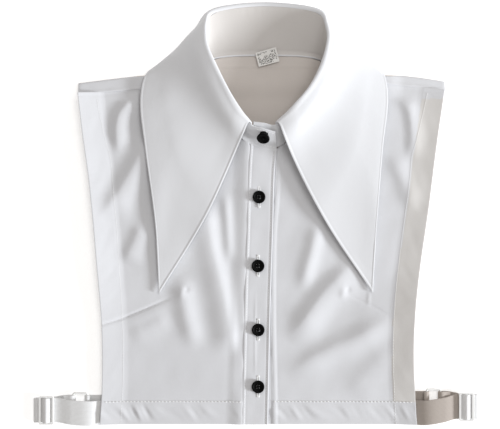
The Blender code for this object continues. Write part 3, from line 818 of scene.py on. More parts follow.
FOLDS_RIGHT = (
    Crease(((-105.0, 110.5), (-118.0, 104.5), (-127.0, 95.0), (-130.5, 82.0), (-129.5, 66.0), (-126.0, 54.0)), 12.0, 3.5, 0.5),
    Crease(((-94.0, 78.0), (-104.5, 61.0), (-115.5, 42.0), (-126.0, 24.0), (-137.0, 6.0), (-143.0, -6.0)), 15.0, 3.9, 0.6, 0.25),
    Crease(((-106.0, -6.0), (-114.0, -26.0), (-124.0, -48.0)), 12.0, 2.3, 0.6),
    Crease(((-71.0, -52.0), (-69.5, -70.6), (-67.6, -89.3), (-62.9, -108.0), (-55.0, -128.0)), 9.5, 3.0, 0.95),
    Crease(
        ((-47.0, 14.0), (-46.1, -14.5), (-38.6, -51.9), (-33.9, -70.6), (-30.2, -89.3), (-27.5, -108.0), (-25.5, -134.0)),
        8.5, 3.8, 1.7, 0.15,
    ),
    Crease(((-31.1, 26.0), (-28.0, -10.0), (-25.5, -50.0)), 5.0, 1.7),
    Crease(((-122.0, -114.0), (-102.0, -106.0), (-80.0, -94.0)), 8.0, 1.2, 1.2),
    Crease(((-31.0, -96.0), (-31.0, -140.0), (-31.0, -196.0)), 18.0, 1.1, 2.6, 0.4),
    Crease(((-60.0, 30.0), (-70.0, -10.0), (-84.0, -60.0)), 16.0, 1.6, 1.0),
)
FOLDS_LEFT = (
    Crease(((128.0, 113.0), (141.0, 99.0), (145.0, 78.0), (143.0, 48.0)), 8.0, 2.2, 0.65),
    Crease(((124.0, 60.0), (139.0, 26.0), (146.0, 0.0)), 10.0, 2.1, 0.8),
    Crease(((97.0, -42.0), (66.0, -71.0), (47.0, -96.0), (28.0, -120.0)), 15.0, 4.2, 0.62),
    Crease(((130.0, -95.0), (94.2, -114.6), (56.8, -132.4), (26.0, -153.0)), 12.0, 3.3, 0.75),
    Crease(((125.0, -121.0), (104.0, -149.2), (86.0, -172.0)), 14.0, 1.0, 0.7),
    Crease(((57.5, -2.0), (51.2, -33.2), (45.6, -53.8), (41.0, -76.0)), 7.5, 2.2, 0.9),
    Crease(((66.0, 30.0), (52.0, -16.0), (34.0, -70.0)), 16.0, 1.2, 1.0),
    Crease(((104.6, -70.0), (103.6, -87.0)), 1.6, 0.35),
    Crease(((150.0, -40.0), (149.0, -140.0), (149.0, -196.0)), 20.0, 5.8, 2.9, 0.4),
)
DART_RIGHT = ((-166.0, -109.0), (-143.5, -102.4), (-126.0, -97.0), (-112.5, -91.6), (-95.0, -84.2), (-71.0, -73.6))
DART_LEFT = ((126.0, -96.0), (103.8, -83.8), (80.0, -73.4))


@dataclass(frozen=True)
class Beds:
    """Where the layers lie: the undersides of the back, the fronts and the bands."""

    leaf_bed: float = 1.9
    shoulder_rise: float = 1.6
    neck_lift: float = 3.4
    neck_lift_centre: tuple[float, float] = (5.0, 72.0)
    neck_lift_reach: float = 46.0
    band_lift: float = 1.8
    band_ease: float = 15.0

    def back(self, x: Array, y: Array) -> Array:
        """Underside of the back panel, raised where the leaf lies under it."""
        rise = soft_step((y - 106.0) / 17.0) * soft_step((x + 124.0) / 16.0) * soft_step((138.0 - x) / 16.0)
        return self.leaf_bed * rise

    def front(self, x: Array, y: Array) -> Array:
        """Underside of the front layer where it has no folds."""
        reach = np.hypot(x - self.neck_lift_centre[0], y - self.neck_lift_centre[1]) / self.neck_lift_reach
        shoulder = self.shoulder_rise * soft_step((y - 66.0) / 46.0)
        return self.back(x, y) + BACK_CLOTH + SEAM_GAP + shoulder + self.neck_lift * np.exp(-(reach**2))

    def panel(self, side: Side, x: Array, y: Array) -> Array:
        """Underside of one front with its folds."""
        seam = BAND_SEAM_RIGHT if side is Side.RIGHT else BAND_SEAM_LEFT
        folds = FOLDS_RIGHT if side is Side.RIGHT else FOLDS_LEFT
        seam_x = np.interp(y, [row[1] for row in seam], [row[0] for row in seam])
        away = (x - seam_x) * side.value
        quiet = soft_step((y - HEM_Y) / 34.0) * soft_step((116.0 - y) / 14.0) * soft_step(away / 9.0)
        ease = 2.0 * soft_step((self.band_ease - away) / self.band_ease) if side is Side.RIGHT else 0.0
        return self.front(x, y) + ease + quiet * creases_rise(folds, x, y)

    def top(self, x: Array, y: Array) -> Array:
        """Upper face of whatever front cloth lies at a place."""
        right = self.panel(Side.RIGHT, x, y)
        left = self.panel(Side.LEFT, x, y)
        band = self.front(x, y) + self.band_lift
        return np.where(x < -8.0, right, np.where(x > 19.0, left, band)) + FRONT_CLOTH


BEDS = Beds()


@dataclass
class Front:
    """One half of the shirt front: turned hems, bust dart, shoulder seam."""

    side: Side
    finish: bpy.types.Material
    # Copy of the shirting with painted warm shade, for the wearer's left armhole band.
    band_shade_finish: bpy.types.Material
    thread: bpy.types.Material
    cells: tuple[int, int] = (116, 236)
    wall: float = 0.9
    hem_step: float = 0.35
    edge_lift: float = 3.2
    far_lift: float = 6.2
    corner_at: float = 0.80
    crumple: Crumple = field(default_factory=lambda: Crumple(11, 0.07))

    def __post_init__(self) -> None:
        """Take the tables of this side."""
        right = self.side is Side.RIGHT
        armhole = ARMHOLE_RIGHT if right else ARMHOLE_LEFT
        seam = BAND_SEAM_RIGHT if right else BAND_SEAM_LEFT
        shoulder = SHOULDER_SEAM_RIGHT if right else SHOULDER_SEAM_LEFT
        table = COLLAR_RIGHT if right else COLLAR_LEFT
        neck = self.neck_edge(table, -0.6 if right else 0.6)
        neck[-1] = shoulder[-1]
        self.armhole = Curve.through(armhole)
        self.seam = Curve.through([*seam[:-1], neck[0]])
        self.neck = Curve.through(neck)
        self.shoulder = Curve.through(shoulder)
        self.dart = DART_RIGHT if right else DART_LEFT
        self.dart_depth = 1.05 if right else 0.4
        self.tag = "right" if right else "left"

    @staticmethod
    def neck_edge(table: Sequence[Sequence[float]], shift: float) -> list[tuple[float, float]]:
        """Neck edge of the front, moved out from the stand's seam."""
        seam = Curve.through([row[1:3] for row in table], [row[0] for row in table])
        points = []
        for station in (0.0, 0.07, 0.14, 0.21, 0.28, 0.35, 0.42, 0.49):
            x, y = seam.at(station)
            along = seam.at(station + 0.01) - seam.at(station - 0.01)
            tangent = along / np.linalg.norm(along)
            points.append((x + shift * tangent[1], y - shift * tangent[0]))
        return points

    def inner(self, v: Array) -> Array:
        """Band seam, then the neck edge."""
        v = np.asarray(v, float)
        low = self.seam.at(np.minimum(v / self.corner_at, 1.0))
        high = self.neck.at(np.clip((v - self.corner_at) / (1 - self.corner_at), 0.0, 1.0))
        return np.where((v <= self.corner_at)[..., None], low, high)

    def plan(self, share: Array, v: Array) -> Array:
        """Place on the table: share 0 at the armhole, 1 at the band; v from hem to shoulder."""
        west, east = self.armhole.at(v), self.inner(v)
        first, last = self.armhole.at(0.0), self.inner(0.0)
        s, t = share[..., None], v[..., None]
        south = first * (1 - s) + last * s
        north = self.shoulder.at(share)
        corners = (
            (1 - s) * (1 - t) * first
            + s * (1 - t) * last
            + (1 - s) * t * self.armhole.at(1.0)
            + s * t * self.inner(1.0)
        )
        return (1 - s) * west + s * east + (1 - t) * south + t * north - corners

    def relief(self, x: Array, y: Array, from_armhole: Array, from_band: Array) -> Array:
        """Hems, dart, seams and small ripples on the panel's upper face."""
        from_hem = y - HEM_Y
        side_hem = 0.3 - 0.3 * soft_step((from_armhole - ARMHOLE_HEM + 0.7) / 1.8)
        low_hem = 1.0 - soft_step((from_hem - HEM_DEPTH + 0.2) / 1.4)
        rise = self.hem_step * np.maximum(side_hem, low_hem)
        lift = self.edge_lift
        if self.side is Side.RIGHT:
            lift = lift + (self.far_lift - lift) * soft_step((y + 130.0) / 90.0)
        rise = rise + lift * np.clip(1.0 - from_armhole / (1.2 * ARMHOLE_HEM), 0.0, 1.0) ** 1.2
        rise = rise - 0.1 * bell(from_hem - HEM_DEPTH, 0.8) - 0.07 * bell(from_armhole - ARMHOLE_HEM, 0.8)
        rise = rise + 0.62 * self.rope(x, from_hem, 0.8) * soft_step(1.0 - np.abs(2 * from_hem / HEM_DEPTH - 1.0))
        lean = self.rope(0.55 * y + 31.0, from_armhole, -0.6)
        rise = rise + 0.16 * lean * soft_step(1.0 - np.abs(2 * from_armhole / ARMHOLE_HEM - 1.0))
        deep = self.dart_depth
        rise = rise + Crease(self.dart, 0.95, -deep, tail=0.3).rise(x, y)
        lower = tuple((px + 4.0, py - 4.8) for px, py in self.dart[1:])
        rise = rise + Crease(lower, 4.2, 0.6 * deep, tail=0.6).rise(x, y)
        end_x, end_y = self.dart[-1]
        puck = np.hypot(x - end_x, (y - end_y) * 0.8)
        rise = rise + 0.9 * bell(puck, 3.6) - 0.7 * bell(np.hypot(x - end_x - 5.0, y - end_y - 3.4), 2.2)
        seam_line = self.shoulder.at(np.linspace(0.0, 1.0, 41))
        order = np.argsort(seam_line[:, 0])
        below = np.interp(x, seam_line[order, 0], seam_line[order, 1]) - y
        rise = rise - 0.3 * bell(below - 3.2, 1.5) + 0.5 * bell(below - 0.9, 0.8)
        if self.side is Side.LEFT:
            rise = rise + 0.8 * bell(from_band - 1.3, 0.85) - 0.12 * bell(from_band - 3.1, 0.7)
        return rise + self.crumple.rise(x, y) * soft_step(from_hem / 20.0)

    @staticmethod
    def rope(run: Array, depth: Array, slope: float) -> Array:
        """Uneven slanting ripples of a hem that was stretched in sewing."""
        warped = run + slope * depth + 5.0 * np.sin(run / 19.0) + 3.0 * np.sin(run / 7.9 + 1.3)
        strength = 0.55 + 0.45 * np.sin(run / 13.7 + 0.6) * np.sin(run / 31.0 + 2.0)
        return strength * (np.sin(2 * math.pi * warped / 21.0) + 0.4 * np.sin(2 * math.pi * warped / 9.4 + 1.0))

    def place(self, u: Array, v: Array) -> Array:
        """Upper face of the front."""
        share = u if self.side is Side.RIGHT else 1.0 - u
        flat = self.plan(share, v)
        x, y = flat[..., 0], flat[..., 1]
        width = np.linalg.norm(self.inner(v) - self.armhole.at(v), axis=-1)
        from_band = (1.0 - share) * width
        z = BEDS.panel(self.side, x, y) + FRONT_CLOTH + self.relief(x, y, share * width, from_band)
        tuck = bell(from_band, 1.2) * soft_step((self.corner_at - v) / 0.01)
        if self.side is Side.RIGHT:
            return stack(x + 1.3 * tuck, y, z - 0.1 * tuck)
        return stack(x - 2.6 * tuck, y, z - 0.1 * tuck)

    def line(self, share: Array, v: Array) -> Array:
        """Points on the upper face, for stitches."""
        return self.place(share if self.side is Side.RIGHT else 1.0 - share, v)

    def build(self) -> bpy.types.Object:
        """Build the panel and its stitches.

        Returns:
            The panel.
        """
        name = f"front_cloth_{self.tag}"
        piece = lay_cloth(name, self.place, self.cells, (140.0, 316.0), (self.wall, Lay.BELOW), self.finish)
        if self.side is Side.LEFT:
            # The wearer's left armhole band takes the shirting copy with painted warm shade.
            paint(piece, self.band_shade_finish, self.in_armhole_band)
        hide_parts(f"front_panel_{self.tag}")
        steps = np.linspace(0.0, 1.0, 400)
        side_share = ARMHOLE_HEM / 138.0
        hem = self.on_line_y(HEM_Y + HEM_DEPTH, steps[8:-2], HEM_DEPTH / 319.0)
        side = self.line(np.full(steps.shape, side_share), steps * 0.985)
        places = Seam(length=2.3, pitch=3.3, width=1.0, height=0.3, lift=0.32, seed=5).places(hem)
        proud = 0.13 if self.side is Side.RIGHT else 0.24
        places += Seam(length=1.9, pitch=2.7, width=0.42, height=proud, seed=6).places(side)
        sew(f"front_stitches_{self.tag}", places, self.thread)
        return piece

    @staticmethod
    def in_armhole_band(x: Array, y: Array, z: Array) -> Array:
        """Whether places of the wearer's left front lie in its turned armhole band."""
        outline = np.array(ARMHOLE_LEFT)
        edge = np.interp(y, outline[:, 1], outline[:, 0])
        return (x > edge - ARMHOLE_HEM) & (y > HEM_Y + HEM_DEPTH) & (y < 108.0)

    def on_line_y(self, y: float, shares: Array, guess: float) -> Array:
        """Points of the panel at one height above the hem."""
        v = np.full(shares.shape, guess)
        for _ in range(4):
            v = v + (y - self.plan(shares, v)[:, 1]) / 316.0
        return self.line(shares, v)


@dataclass
class Bands:
    """The buttonhole band on top and the button band under it."""

    finish: bpy.types.Material
    thread: bpy.types.Material
    width: float = 25.0
    cells: tuple[int, int] = (34, 236)
    wall: float = 0.9
    buttons: tuple[tuple[float, float], ...] = ((1.6, 16.3), (0.7, -48.0), (0.8, -107.7), (0.7, -160.8))
    ridge: Crease = Crease(((-1.7, -68.0), (-2.1, -110.0), (-2.0, -158.0)), 1.0, 0.25)

    def __post_init__(self) -> None:
        """Take the seam lines."""
        self.over_seam = Curve.through([*BAND_SEAM_RIGHT[:-1], (-7.4, 66.2)])
        self.under_seam = Curve.through([*BAND_SEAM_LEFT[:-1], (18.7, 61.8)])

    def over(self, u: Array, v: Array) -> Array:
        """Upper face of the buttonhole band: pressed edges and stitched channels."""
        start = self.over_seam.at(v)
        x = start[..., 0] + SEAM_GAP + self.width * u
        y = start[..., 1] - 6.6 * u * soft_step((v - 0.86) / 0.14)
        inside = self.width * u
        outside = self.width * (1.0 - u)
        z = BEDS.front(x, y) + BEDS.band_lift + FRONT_CLOTH
        z = z + 0.5 * bell(inside - 1.6, 1.0) - 0.12 * bell(inside - 3.4, 0.8)
        z = z + 0.5 * bell(outside - 1.0, 0.9) - 0.2 * bell(outside - 2.7, 0.7)
        for bx, by in self.buttons:
            pull = np.hypot((x - bx) / 1.0, (y - by) / 1.6)
            z = z - 0.3 * bell(pull, 7.0) + 0.22 * bell(np.hypot(x - bx + 6.0, y - by - 8.0), 4.0)
        z = z + self.ridge.rise(x, y) + Crumple(23, 0.06, 12.0, 40.0).rise(x, y)
        return stack(x, y, z)

    def under(self, u: Array, v: Array) -> Array:
        """Upper face of the button band."""
        start = self.under_seam.at(v)
        x = start[..., 0] - SEAM_GAP - (self.width - 1.0) * (1.0 - u)
        y = start[..., 1] + 5.2 * (1.0 - u) * soft_step((v - 0.86) / 0.14)
        z = BEDS.front(x, y) + FRONT_CLOTH + 0.35 * bell((1.0 - u) * (self.width - 1.0) - 1.0, 0.9)
        return stack(x, y, z)

    def build(self) -> bpy.types.Object:
        """Build both bands, the edge stitches and the buttonholes.

        Returns:
            The buttonhole band.
        """
        wall = (self.wall, Lay.BELOW)
        over = lay_cloth("placket_cloth", self.over, self.cells, (self.width, 262.0), wall, self.finish)
        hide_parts("placket_band")
        cells = (self.cells[0], 160)
        under = lay_cloth("button_band_cloth", self.under, cells, (24.0, 260.0), wall, self.finish)
        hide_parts("button_band")
        steps = np.linspace(0.004, 0.985, 500)
        edge = Seam(length=1.8, pitch=2.5, width=0.36, height=0.22, seed=12)
        places = []
        for share in (2.6 / self.width, 1.0 - 2.5 / self.width):
            places += edge.places(self.over(np.full(steps.shape, share), steps))
        for bx, by in self.buttons:
            places += self.buttonhole(bx, by)
        sew("placket_stitches", places, self.thread)
        return over

    @staticmethod
    def buttonhole(bx: float, by: float) -> list[Matrix]:
        """Stitches of one upright worked buttonhole.

        Args:
            bx: The button's place across.
            by: The button's place up.

        Returns:
            Placings of its stitches.
        """
        places = []
        base = float(BEDS.front(np.array(bx), np.array(by))) + BEDS.band_lift + FRONT_CLOTH
        half = 9.2
        pitch = 0.62
        for index in range(int(2 * half / pitch) + 1):
            y = by - half + index * pitch
            for side in (-0.8, 0.8):
                line = np.array([(bx + side - 0.6, y, base), (bx + side + 0.6, y, base)])
                places += Seam(length=1.3, pitch=1.2, width=0.5, height=0.36, seed=index).places(line)
        for end in (-half - 0.3, half + 0.3):
            for step in (-0.35, 0.15, 0.65):
                line = np.array([(bx - 1.6, by + end + step, base), (bx + 1.6, by + end + step, base)])
                places += Seam(length=3.2, pitch=3.2, width=0.5, height=0.42, seed=4).places(line)
        return places


@dataclass
class BackPanel:
    """Back panel: flat on the surface and turned over the shoulders to the shoulder seams."""

    # finish: warm, darker copy of the shirting with painted shade, seen inside the neck; outer: the plain shirting for
    # the strips over the shoulders.
    finish: bpy.types.Material
    outer: bpy.types.Material
    fold_radius: float = 2.2
    inset: float = 1.0
    across: tuple[int, int, int] = (34, 46, 34)
    rows: int = 110

    def __post_init__(self) -> None:
        """Take the outline's curves."""
        self.left = Curve.through([*((x + self.inset, y) for x, y in ARMHOLE_RIGHT[:-1]), (-167.4, 121.0)])
        self.right = Curve.through([*((x - self.inset, y) for x, y in ARMHOLE_LEFT[:-1]), (175.4, 122.0)])
        rows = sorted(
            [(row[1], row[2]) for row in COLLAR_RIGHT if row[0] > 0.5]
            + [(row[1], row[2]) for row in COLLAR_LEFT if 0.5 < row[0] < 1.0]
        )
        self.neck_x = [row[0] for row in rows]
        self.neck_y = [row[1] - SEAM_GAP - 0.4 for row in rows]

    @staticmethod
    def fold_y(x: Array) -> Array:
        """Middle of the turn over the shoulders."""
        return np.interp(x, [row[0] for row in SHOULDER_FOLD], [row[1] for row in SHOULDER_FOLD])

    def small(self, x: Array, y: Array) -> Array:
        """Facing below the neck seam and faint gathers on the inner face."""
        facing = soft_step((y - 136.6) / 1.6) * soft_step((150.0 - y) / 2.0)
        gathers = 0.14 * np.sin(x / 2.3 + 1.2 * np.sin(x / 9.0)) * soft_step((y - 128.0) / 14.0)
        inner = soft_step((60.0 - np.abs(x - 7.0)) / 10.0)
        flat = Crumple(31, 0.05).rise(x, y) * soft_step((y - 40.0) / 30.0)
        return (0.3 * facing + gathers + flat) * inner

    def flat(self, top_x: Array, v: Array) -> Array:
        """A point of the flat part that ends at top_x on the shoulder line."""
        x_left, x_right = self.left.rows[-1][0], self.right.rows[-1][0]
        share = (top_x - x_left) / (x_right - x_left)
        low, high = self.left.at(v)[..., 0], self.right.at(v)[..., 0]
        x = low + (high - low) * share
        top = self.fold_y(top_x) - self.fold_radius
        y = HEM_Y + 0.8 + (top - HEM_Y - 0.8) * v
        return stack(x, y, BEDS.back(x, y) + BACK_CLOTH + self.small(x, y) * soft_step(v * 3.0))

    def over_shoulder(self, x: Array, seam: Curve, v: Array) -> Array:
        """A point of the strip that turns over the shoulder; its outer face."""
        line = seam.at(np.linspace(0.0, 1.0, 41))
        order = np.argsort(line[:, 0])
        seam_y = np.interp(x, line[order, 0], line[order, 1])
        y0 = self.fold_y(x) - self.fold_radius
        z0 = BEDS.back(x, y0)
        angle = math.pi * np.minimum(v / 0.5, 1.0)
        radius = self.fold_radius
        turn = stack(x, y0 + radius * np.sin(angle), z0 + radius * (1 - np.cos(angle)))
        run = np.clip((v - 0.5) / 0.5, 0.0, 1.0)
        y = y0 + (seam_y - 1.1 - y0) * run
        z = z0 + 2 * radius + (BEDS.front(x, y) + FRONT_CLOTH + 0.55 - z0 - 2 * radius) * run
        z = z + 0.5 * bell((1.0 - run) * (y0 - seam_y) - 1.2, 1.0) + 0.1 * np.sin(x / 3.1) * run
        return np.where((v <= 0.5)[..., None], turn, stack(x, y, z))

    def build(self) -> bpy.types.Object:
        """Build the panel.

        Returns:
            The panel.
        """
        data = bmesh.new()
        x_left, x_right = float(self.left.rows[-1][0]), float(self.right.rows[-1][0])
        parts = ((x_left, NECK_LEFT_X, 0.0), (NECK_LEFT_X, NECK_RIGHT_X, 1.0), (NECK_RIGHT_X, x_right, 0.0))

        for cells, (start, end, crowd) in zip(self.across, parts):
            add_patch(
                data,
                lambda u, v, s=start, e=end: self.lower(self.flat(s + (e - s) * u, v)),
                (cells, self.rows),
                (end - start, 320.0),
                crowd,
            )
        seams = ((x_left, NECK_LEFT_X, SHOULDER_SEAM_RIGHT, 0), (NECK_RIGHT_X, x_right, SHOULDER_SEAM_LEFT, 2))
        for start, end, table, part in seams:
            curve = Curve.through(table)
            add_patch(
                data,
                lambda u, v, s=start, e=end, c=curve: self.over_shoulder(s + (e - s) * u, c, v),
                (self.across[part], 20),
                (end - start, 16.0),
            )

        def neck(u: Array, v: Array) -> Array:
            x = NECK_LEFT_X + (NECK_RIGHT_X - NECK_LEFT_X) * u
            y0 = self.fold_y(x) - self.fold_radius
            edge = np.maximum(np.interp(x, self.neck_x, self.neck_y), y0 + 2.0)
            y = y0 + (edge - y0) * v
            return self.lower(stack(x, y, BEDS.back(x, y) + BACK_CLOTH + self.small(x, y)))

        add_patch(data, neck, (self.across[1], 16), (NECK_RIGHT_X - NECK_LEFT_X, 20.0), 1.0)
        bmesh.ops.remove_doubles(data, verts=data.verts[:], dist=0.02)
        piece = settle("back_cloth", data, self.finish)
        paint(piece, self.outer, lambda x, y, z: (z > 2.2 + 2.0 * BEDS.back(x, y)) & (y < 131.0))
        give_wall(piece, BACK_CLOTH, Lay.ABOVE)
        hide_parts("back_panel")
        return piece

    @staticmethod
    def lower(points: Array) -> Array:
        """The underside below points of the upper face, never under the surface it lies on."""
        return stack(points[..., 0], points[..., 1], np.maximum(points[..., 2] - BACK_CLOTH, 0.0))


COLLAR = Curve.through(
    [*(row[1:] for row in COLLAR_RIGHT), *(row[1:] for row in reversed(COLLAR_LEFT[:-1]))],
    [*(row[0] for row in COLLAR_RIGHT), *(2.0 - row[0] for row in reversed(COLLAR_LEFT[:-1]))],
)
LEAF_EDGE = Curve.through(
    [*(row[1:] for row in LEAF_EDGE_RIGHT), *(row[1:] for row in reversed(LEAF_EDGE_LEFT[:-1]))],
    [*(row[0] for row in LEAF_EDGE_RIGHT), *(2.0 - row[0] for row in reversed(LEAF_EDGE_LEFT[:-1]))],
)


@dataclass(frozen=True)
class Section:
    """The collar cut across at one station: the rows that its cloth follows."""

    seam: Array
    arc: Array
    fall: Array
    turn: Array
    outer: Array

    @property
    def rising(self) -> Array:
        """Direction from the neck seam to the roll."""
        way = self.arc[0] - self.seam
        return way / np.linalg.norm(way)


@lru_cache(maxsize=4096)
def collar_section(station: float) -> Section:
    """Section of the collar at one station.

    Args:
        station: 0 at the wearer's right front edge, 1 at the back, 2 at the left front edge.

    Returns:
        The section.
    """
    front_way = min(station, 2.0 - station)
    fuller = 2.4 * float(soft_step((0.76 - front_way) / 0.2) * soft_step(front_way / 0.08))
    radius = 2.2 + fuller
    row = COLLAR.at(station)
    seam, roll, fall, turn = row[0:3], row[3:6], row[6:9], row[9:12]
    rising = (roll - seam) / np.linalg.norm(roll - seam)
    falling = (fall - roll) / np.linalg.norm(fall - roll)
    travel = (rising + falling) / np.linalg.norm(rising + falling)
    crest = (rising - falling) / np.linalg.norm(rising - falling)
    half_turn = 0.45 * math.acos(float(np.clip(rising @ falling, -1.0, 1.0)))
    arc = np.array(
        [
            roll + 0.95 * fuller * travel + radius * (math.sin(angle) * travel + (math.cos(angle) - 1.0) * crest)
            for angle in np.linspace(-half_turn, half_turn, 5)
        ]
    )
    return Section(seam, arc, fall, turn, LEAF_EDGE.at(station))


@dataclass
class Collar:
    """Stand and leaf of the collar."""

    finish: bpy.types.Material
    # Warm, darker copy of the collar cloth for the inside of the stand: painted shade.
    stand_shade_finish: bpy.types.Material
    thread: bpy.types.Material
    roll_lead: float = 1.2
    roll_share: float = 0.30
    leaf_cells: tuple[int, int] = (300, 104)
    leaf_crowd: float = 0.85
    edge_crowd: float = 0.6
    shoulder_at: float = 0.3
    shoulder_lift: float = 2.0
    fall_lift: float = 3.2
    turn_lift: float = 2.2
    bead: float = 0.17
    tab_step: float = 0.14
    stand_cells: tuple[int, int] = (300, 36)
    below_within: float = 0.475
    below_ease: float = 0.06
    rest_reach: float = 0.10
    rest_share: float = 0.7
    rest_gap: float = 0.3
    wall: float = 1.3

    def leaf(self, u: Array, v: Array) -> Array:
        """Middle of the leaf's cloth, u round the neck and v from the roll to the outer edge."""
        points = np.zeros((len(u), 3))
        edge = np.zeros(len(u))
        for share in np.unique(u):
            chosen = u == share
            part = collar_section(2.0 * float(share))
            lead = part.arc[0] - part.rising * self.roll_lead
            high = float(soft_step((part.arc[-1][2] - part.fall[2] - 4.0) / 6.0))
            shoulder = part.arc[-1] * (1.0 - self.shoulder_at) + part.fall * self.shoulder_at
            shoulder = shoulder + self.shoulder_lift * high * UP
            fall, turn = part.fall + self.fall_lift * high * UP, part.turn + self.turn_lift * high * UP
            curve = Curve.through([lead, *part.arc, shoulder, fall, turn, part.outer])
            rolled = curve.knots[5]
            run = v[chosen]
            late = np.clip((run - self.roll_share) / (1.0 - self.roll_share), 0.0, 1.0)
            late = (1.0 - self.edge_crowd) * late + self.edge_crowd * np.sin(late * math.pi / 2)
            spread = np.where(run < self.roll_share, rolled * run / self.roll_share, rolled + (1.0 - rolled) * late)
            points[chosen] = curve.at(spread)
            edge[chosen] = np.linalg.norm(points[chosen] - part.outer, axis=1)
        x, y, z = points[:, 0], points[:, 1], points[:, 2]
        clear = BEDS.top(x, y) + 2 * SEAM_GAP + COLLAR_CLOTH / 2 + 0.25
        weight = soft_step((np.abs(2.0 * u - 1.0) - self.below_within) / self.below_ease) * (v > self.roll_share)
        near_front = 1.0 - soft_step(np.minimum(u, 1.0 - u) / self.rest_reach)
        resting = self.rest_share * near_front * soft_step((v - 0.45) / 0.4) * weight
        z = z - np.maximum(z - clear - self.rest_gap, 0.0) * resting
        z = z + np.maximum(clear - z, 0.0) * weight
        for station in (0.0, 2.0):
            part = collar_section(station)
            near = np.abs(2.0 * u - station) < 0.3
            line = np.array([part.arc[-1], part.fall, part.turn, part.outer])
            front_edge = Curve.through(line).at(np.linspace(0.0, 1.0, 31))
            edge[near] = np.minimum(edge[near], nearest_on(front_edge, x[near], y[near])[0])
        bead = self.bead * np.where(np.abs(2.0 * u - 1.0) > 0.9, 1.9, 1.0)
        turned = bead * (bell(edge - 0.9, 0.75) - 0.2 * bell(edge - 2.5, 0.9)) * (v > self.roll_share)
        return stack(x, y, np.maximum(z + turned, COLLAR_CLOTH / 2))

    def stand_rows(self) -> Curve:
        """Seam and upper edge of the stand all round, the two tabs included."""
        rows = [list(row) for row in TAB_OVER]
        stations = 28
        for step in range(stations + 1):
            part = collar_section(2.0 * step / stations)
            top = part.arc[0] - part.rising * (self.roll_lead + 0.04)
            rows.append([*part.seam, *top])
        rows += [list(row) for row in reversed(TAB_UNDER)]
        return Curve.through(rows)

    def stand(self, u: Array, v: Array) -> Array:
        """Middle of the stand's cloth, with the turned edge that shows at the neck seam."""
        rows = self.stand_rows()
        here = rows.at(u)
        ahead = rows.at(np.minimum(u + 0.002, 1.0))[:, 0:3] - rows.at(np.maximum(u - 0.002, 0.0))[:, 0:3]
        rise = here[:, 3:6] - here[:, 0:3]
        height = np.linalg.norm(rise, axis=1)
        inward = np.cross(ahead, rise)
        inward = inward / np.linalg.norm(inward, axis=1)[:, None]
        up = v * height
        edge = 0.5 * bell(up - 1.3, 1.1) - 0.2 * bell(up - 3.6, 0.9)
        streak = 0.05 * np.sin(u * 520.0 + 4.0 * np.sin(u * 61.0)) * soft_step((up - 30.0) / 12.0)
        back = soft_step((0.22 - np.abs(u - 0.5)) / 0.06)
        points = here[:, 0:3] + rise * v[:, None] + inward * ((edge + streak) * back)[:, None]
        x, y, z = points.T
        lap = back * (1.0 - soft_step(up / 3.4))
        y = y - 1.5 * lap
        z = z + np.maximum(BEDS.back(x, y) + BACK_CLOTH + self.wall / 2 + 0.1 - z, 0.0) * lap
        pressed = soft_step((0.10 - u) / 0.03) * (1.0 - soft_step(v / 0.5))
        y = y - 1.5 * pressed * (1.0 - soft_step(v / 0.3))
        bed = BEDS.top(x, y) + self.tab_step - self.wall / 2
        return stack(x, y, z + (bed - z) * pressed)

    @staticmethod
    def seam_y(x: Array) -> Array:
        """Height of the back neck seam on the table."""
        rows = np.array([collar_section(station).seam for station in np.linspace(0.6, 1.4, 33)])
        return np.interp(x, rows[:, 0], rows[:, 1])

    def build(self) -> tuple[bpy.types.Object, bpy.types.Object]:
        """Build the stand and the leaf.

        Returns:
            The leaf and the stand.
        """
        leaf = lay_cloth(
            "leaf_cloth",
            self.leaf,
            self.leaf_cells,
            (420.0, 110.0),
            (self.wall, Lay.MIDDLE),
            self.finish,
            self.leaf_crowd,
        )
        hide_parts("collar_leaf")
        stand = lay_cloth(
            "stand_cloth",
            self.stand,
            self.stand_cells,
            (430.0, 40.0),
            (self.wall, Lay.MIDDLE),
            self.stand_shade_finish,
        )
        # The tabs and the turned lower edge at the back take the plain collar cloth; the rest of the stand keeps the
        # painted shade.
        paint(stand, self.finish, lambda x, y, z: (y < 88.0) | ((y > 134.0) & (y < self.seam_y(x) - 0.2)))
        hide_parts("collar_stand")
        rows = self.stand_rows()
        sewn = []
        here = rows.at(np.linspace(0.004, 0.052, 40))
        rise = here[:, 3:6] - here[:, 0:3]
        ahead = np.gradient(here[:, 0:3], axis=0)
        outward = np.cross(rise, ahead)
        outward = outward / np.linalg.norm(outward, axis=1)[:, None]
        for share in (0.14, 0.88):
            line = here[:, 0:3] + rise * share + outward * (self.wall / 2)
            sewn += Seam(length=1.8, pitch=2.5, width=0.36, height=0.22, seed=21).places(line, outward)
        here = rows.at(np.linspace(0.30, 0.70, 200))
        rise = here[:, 3:6] - here[:, 0:3]
        inward = np.cross(np.gradient(here[:, 0:3], axis=0), rise)
        inward = inward / np.linalg.norm(inward, axis=1)[:, None]
        along = rise / np.linalg.norm(rise, axis=1)[:, None]
        line = here[:, 0:3] + along * 2.4 + inward * (self.wall / 2 - 0.05)
        sewn += Seam(length=1.8, pitch=2.5, width=0.34, height=0.2, seed=22).places(line, inward)
        sew("stand_stitches", sewn, self.thread)
        return leaf, stand


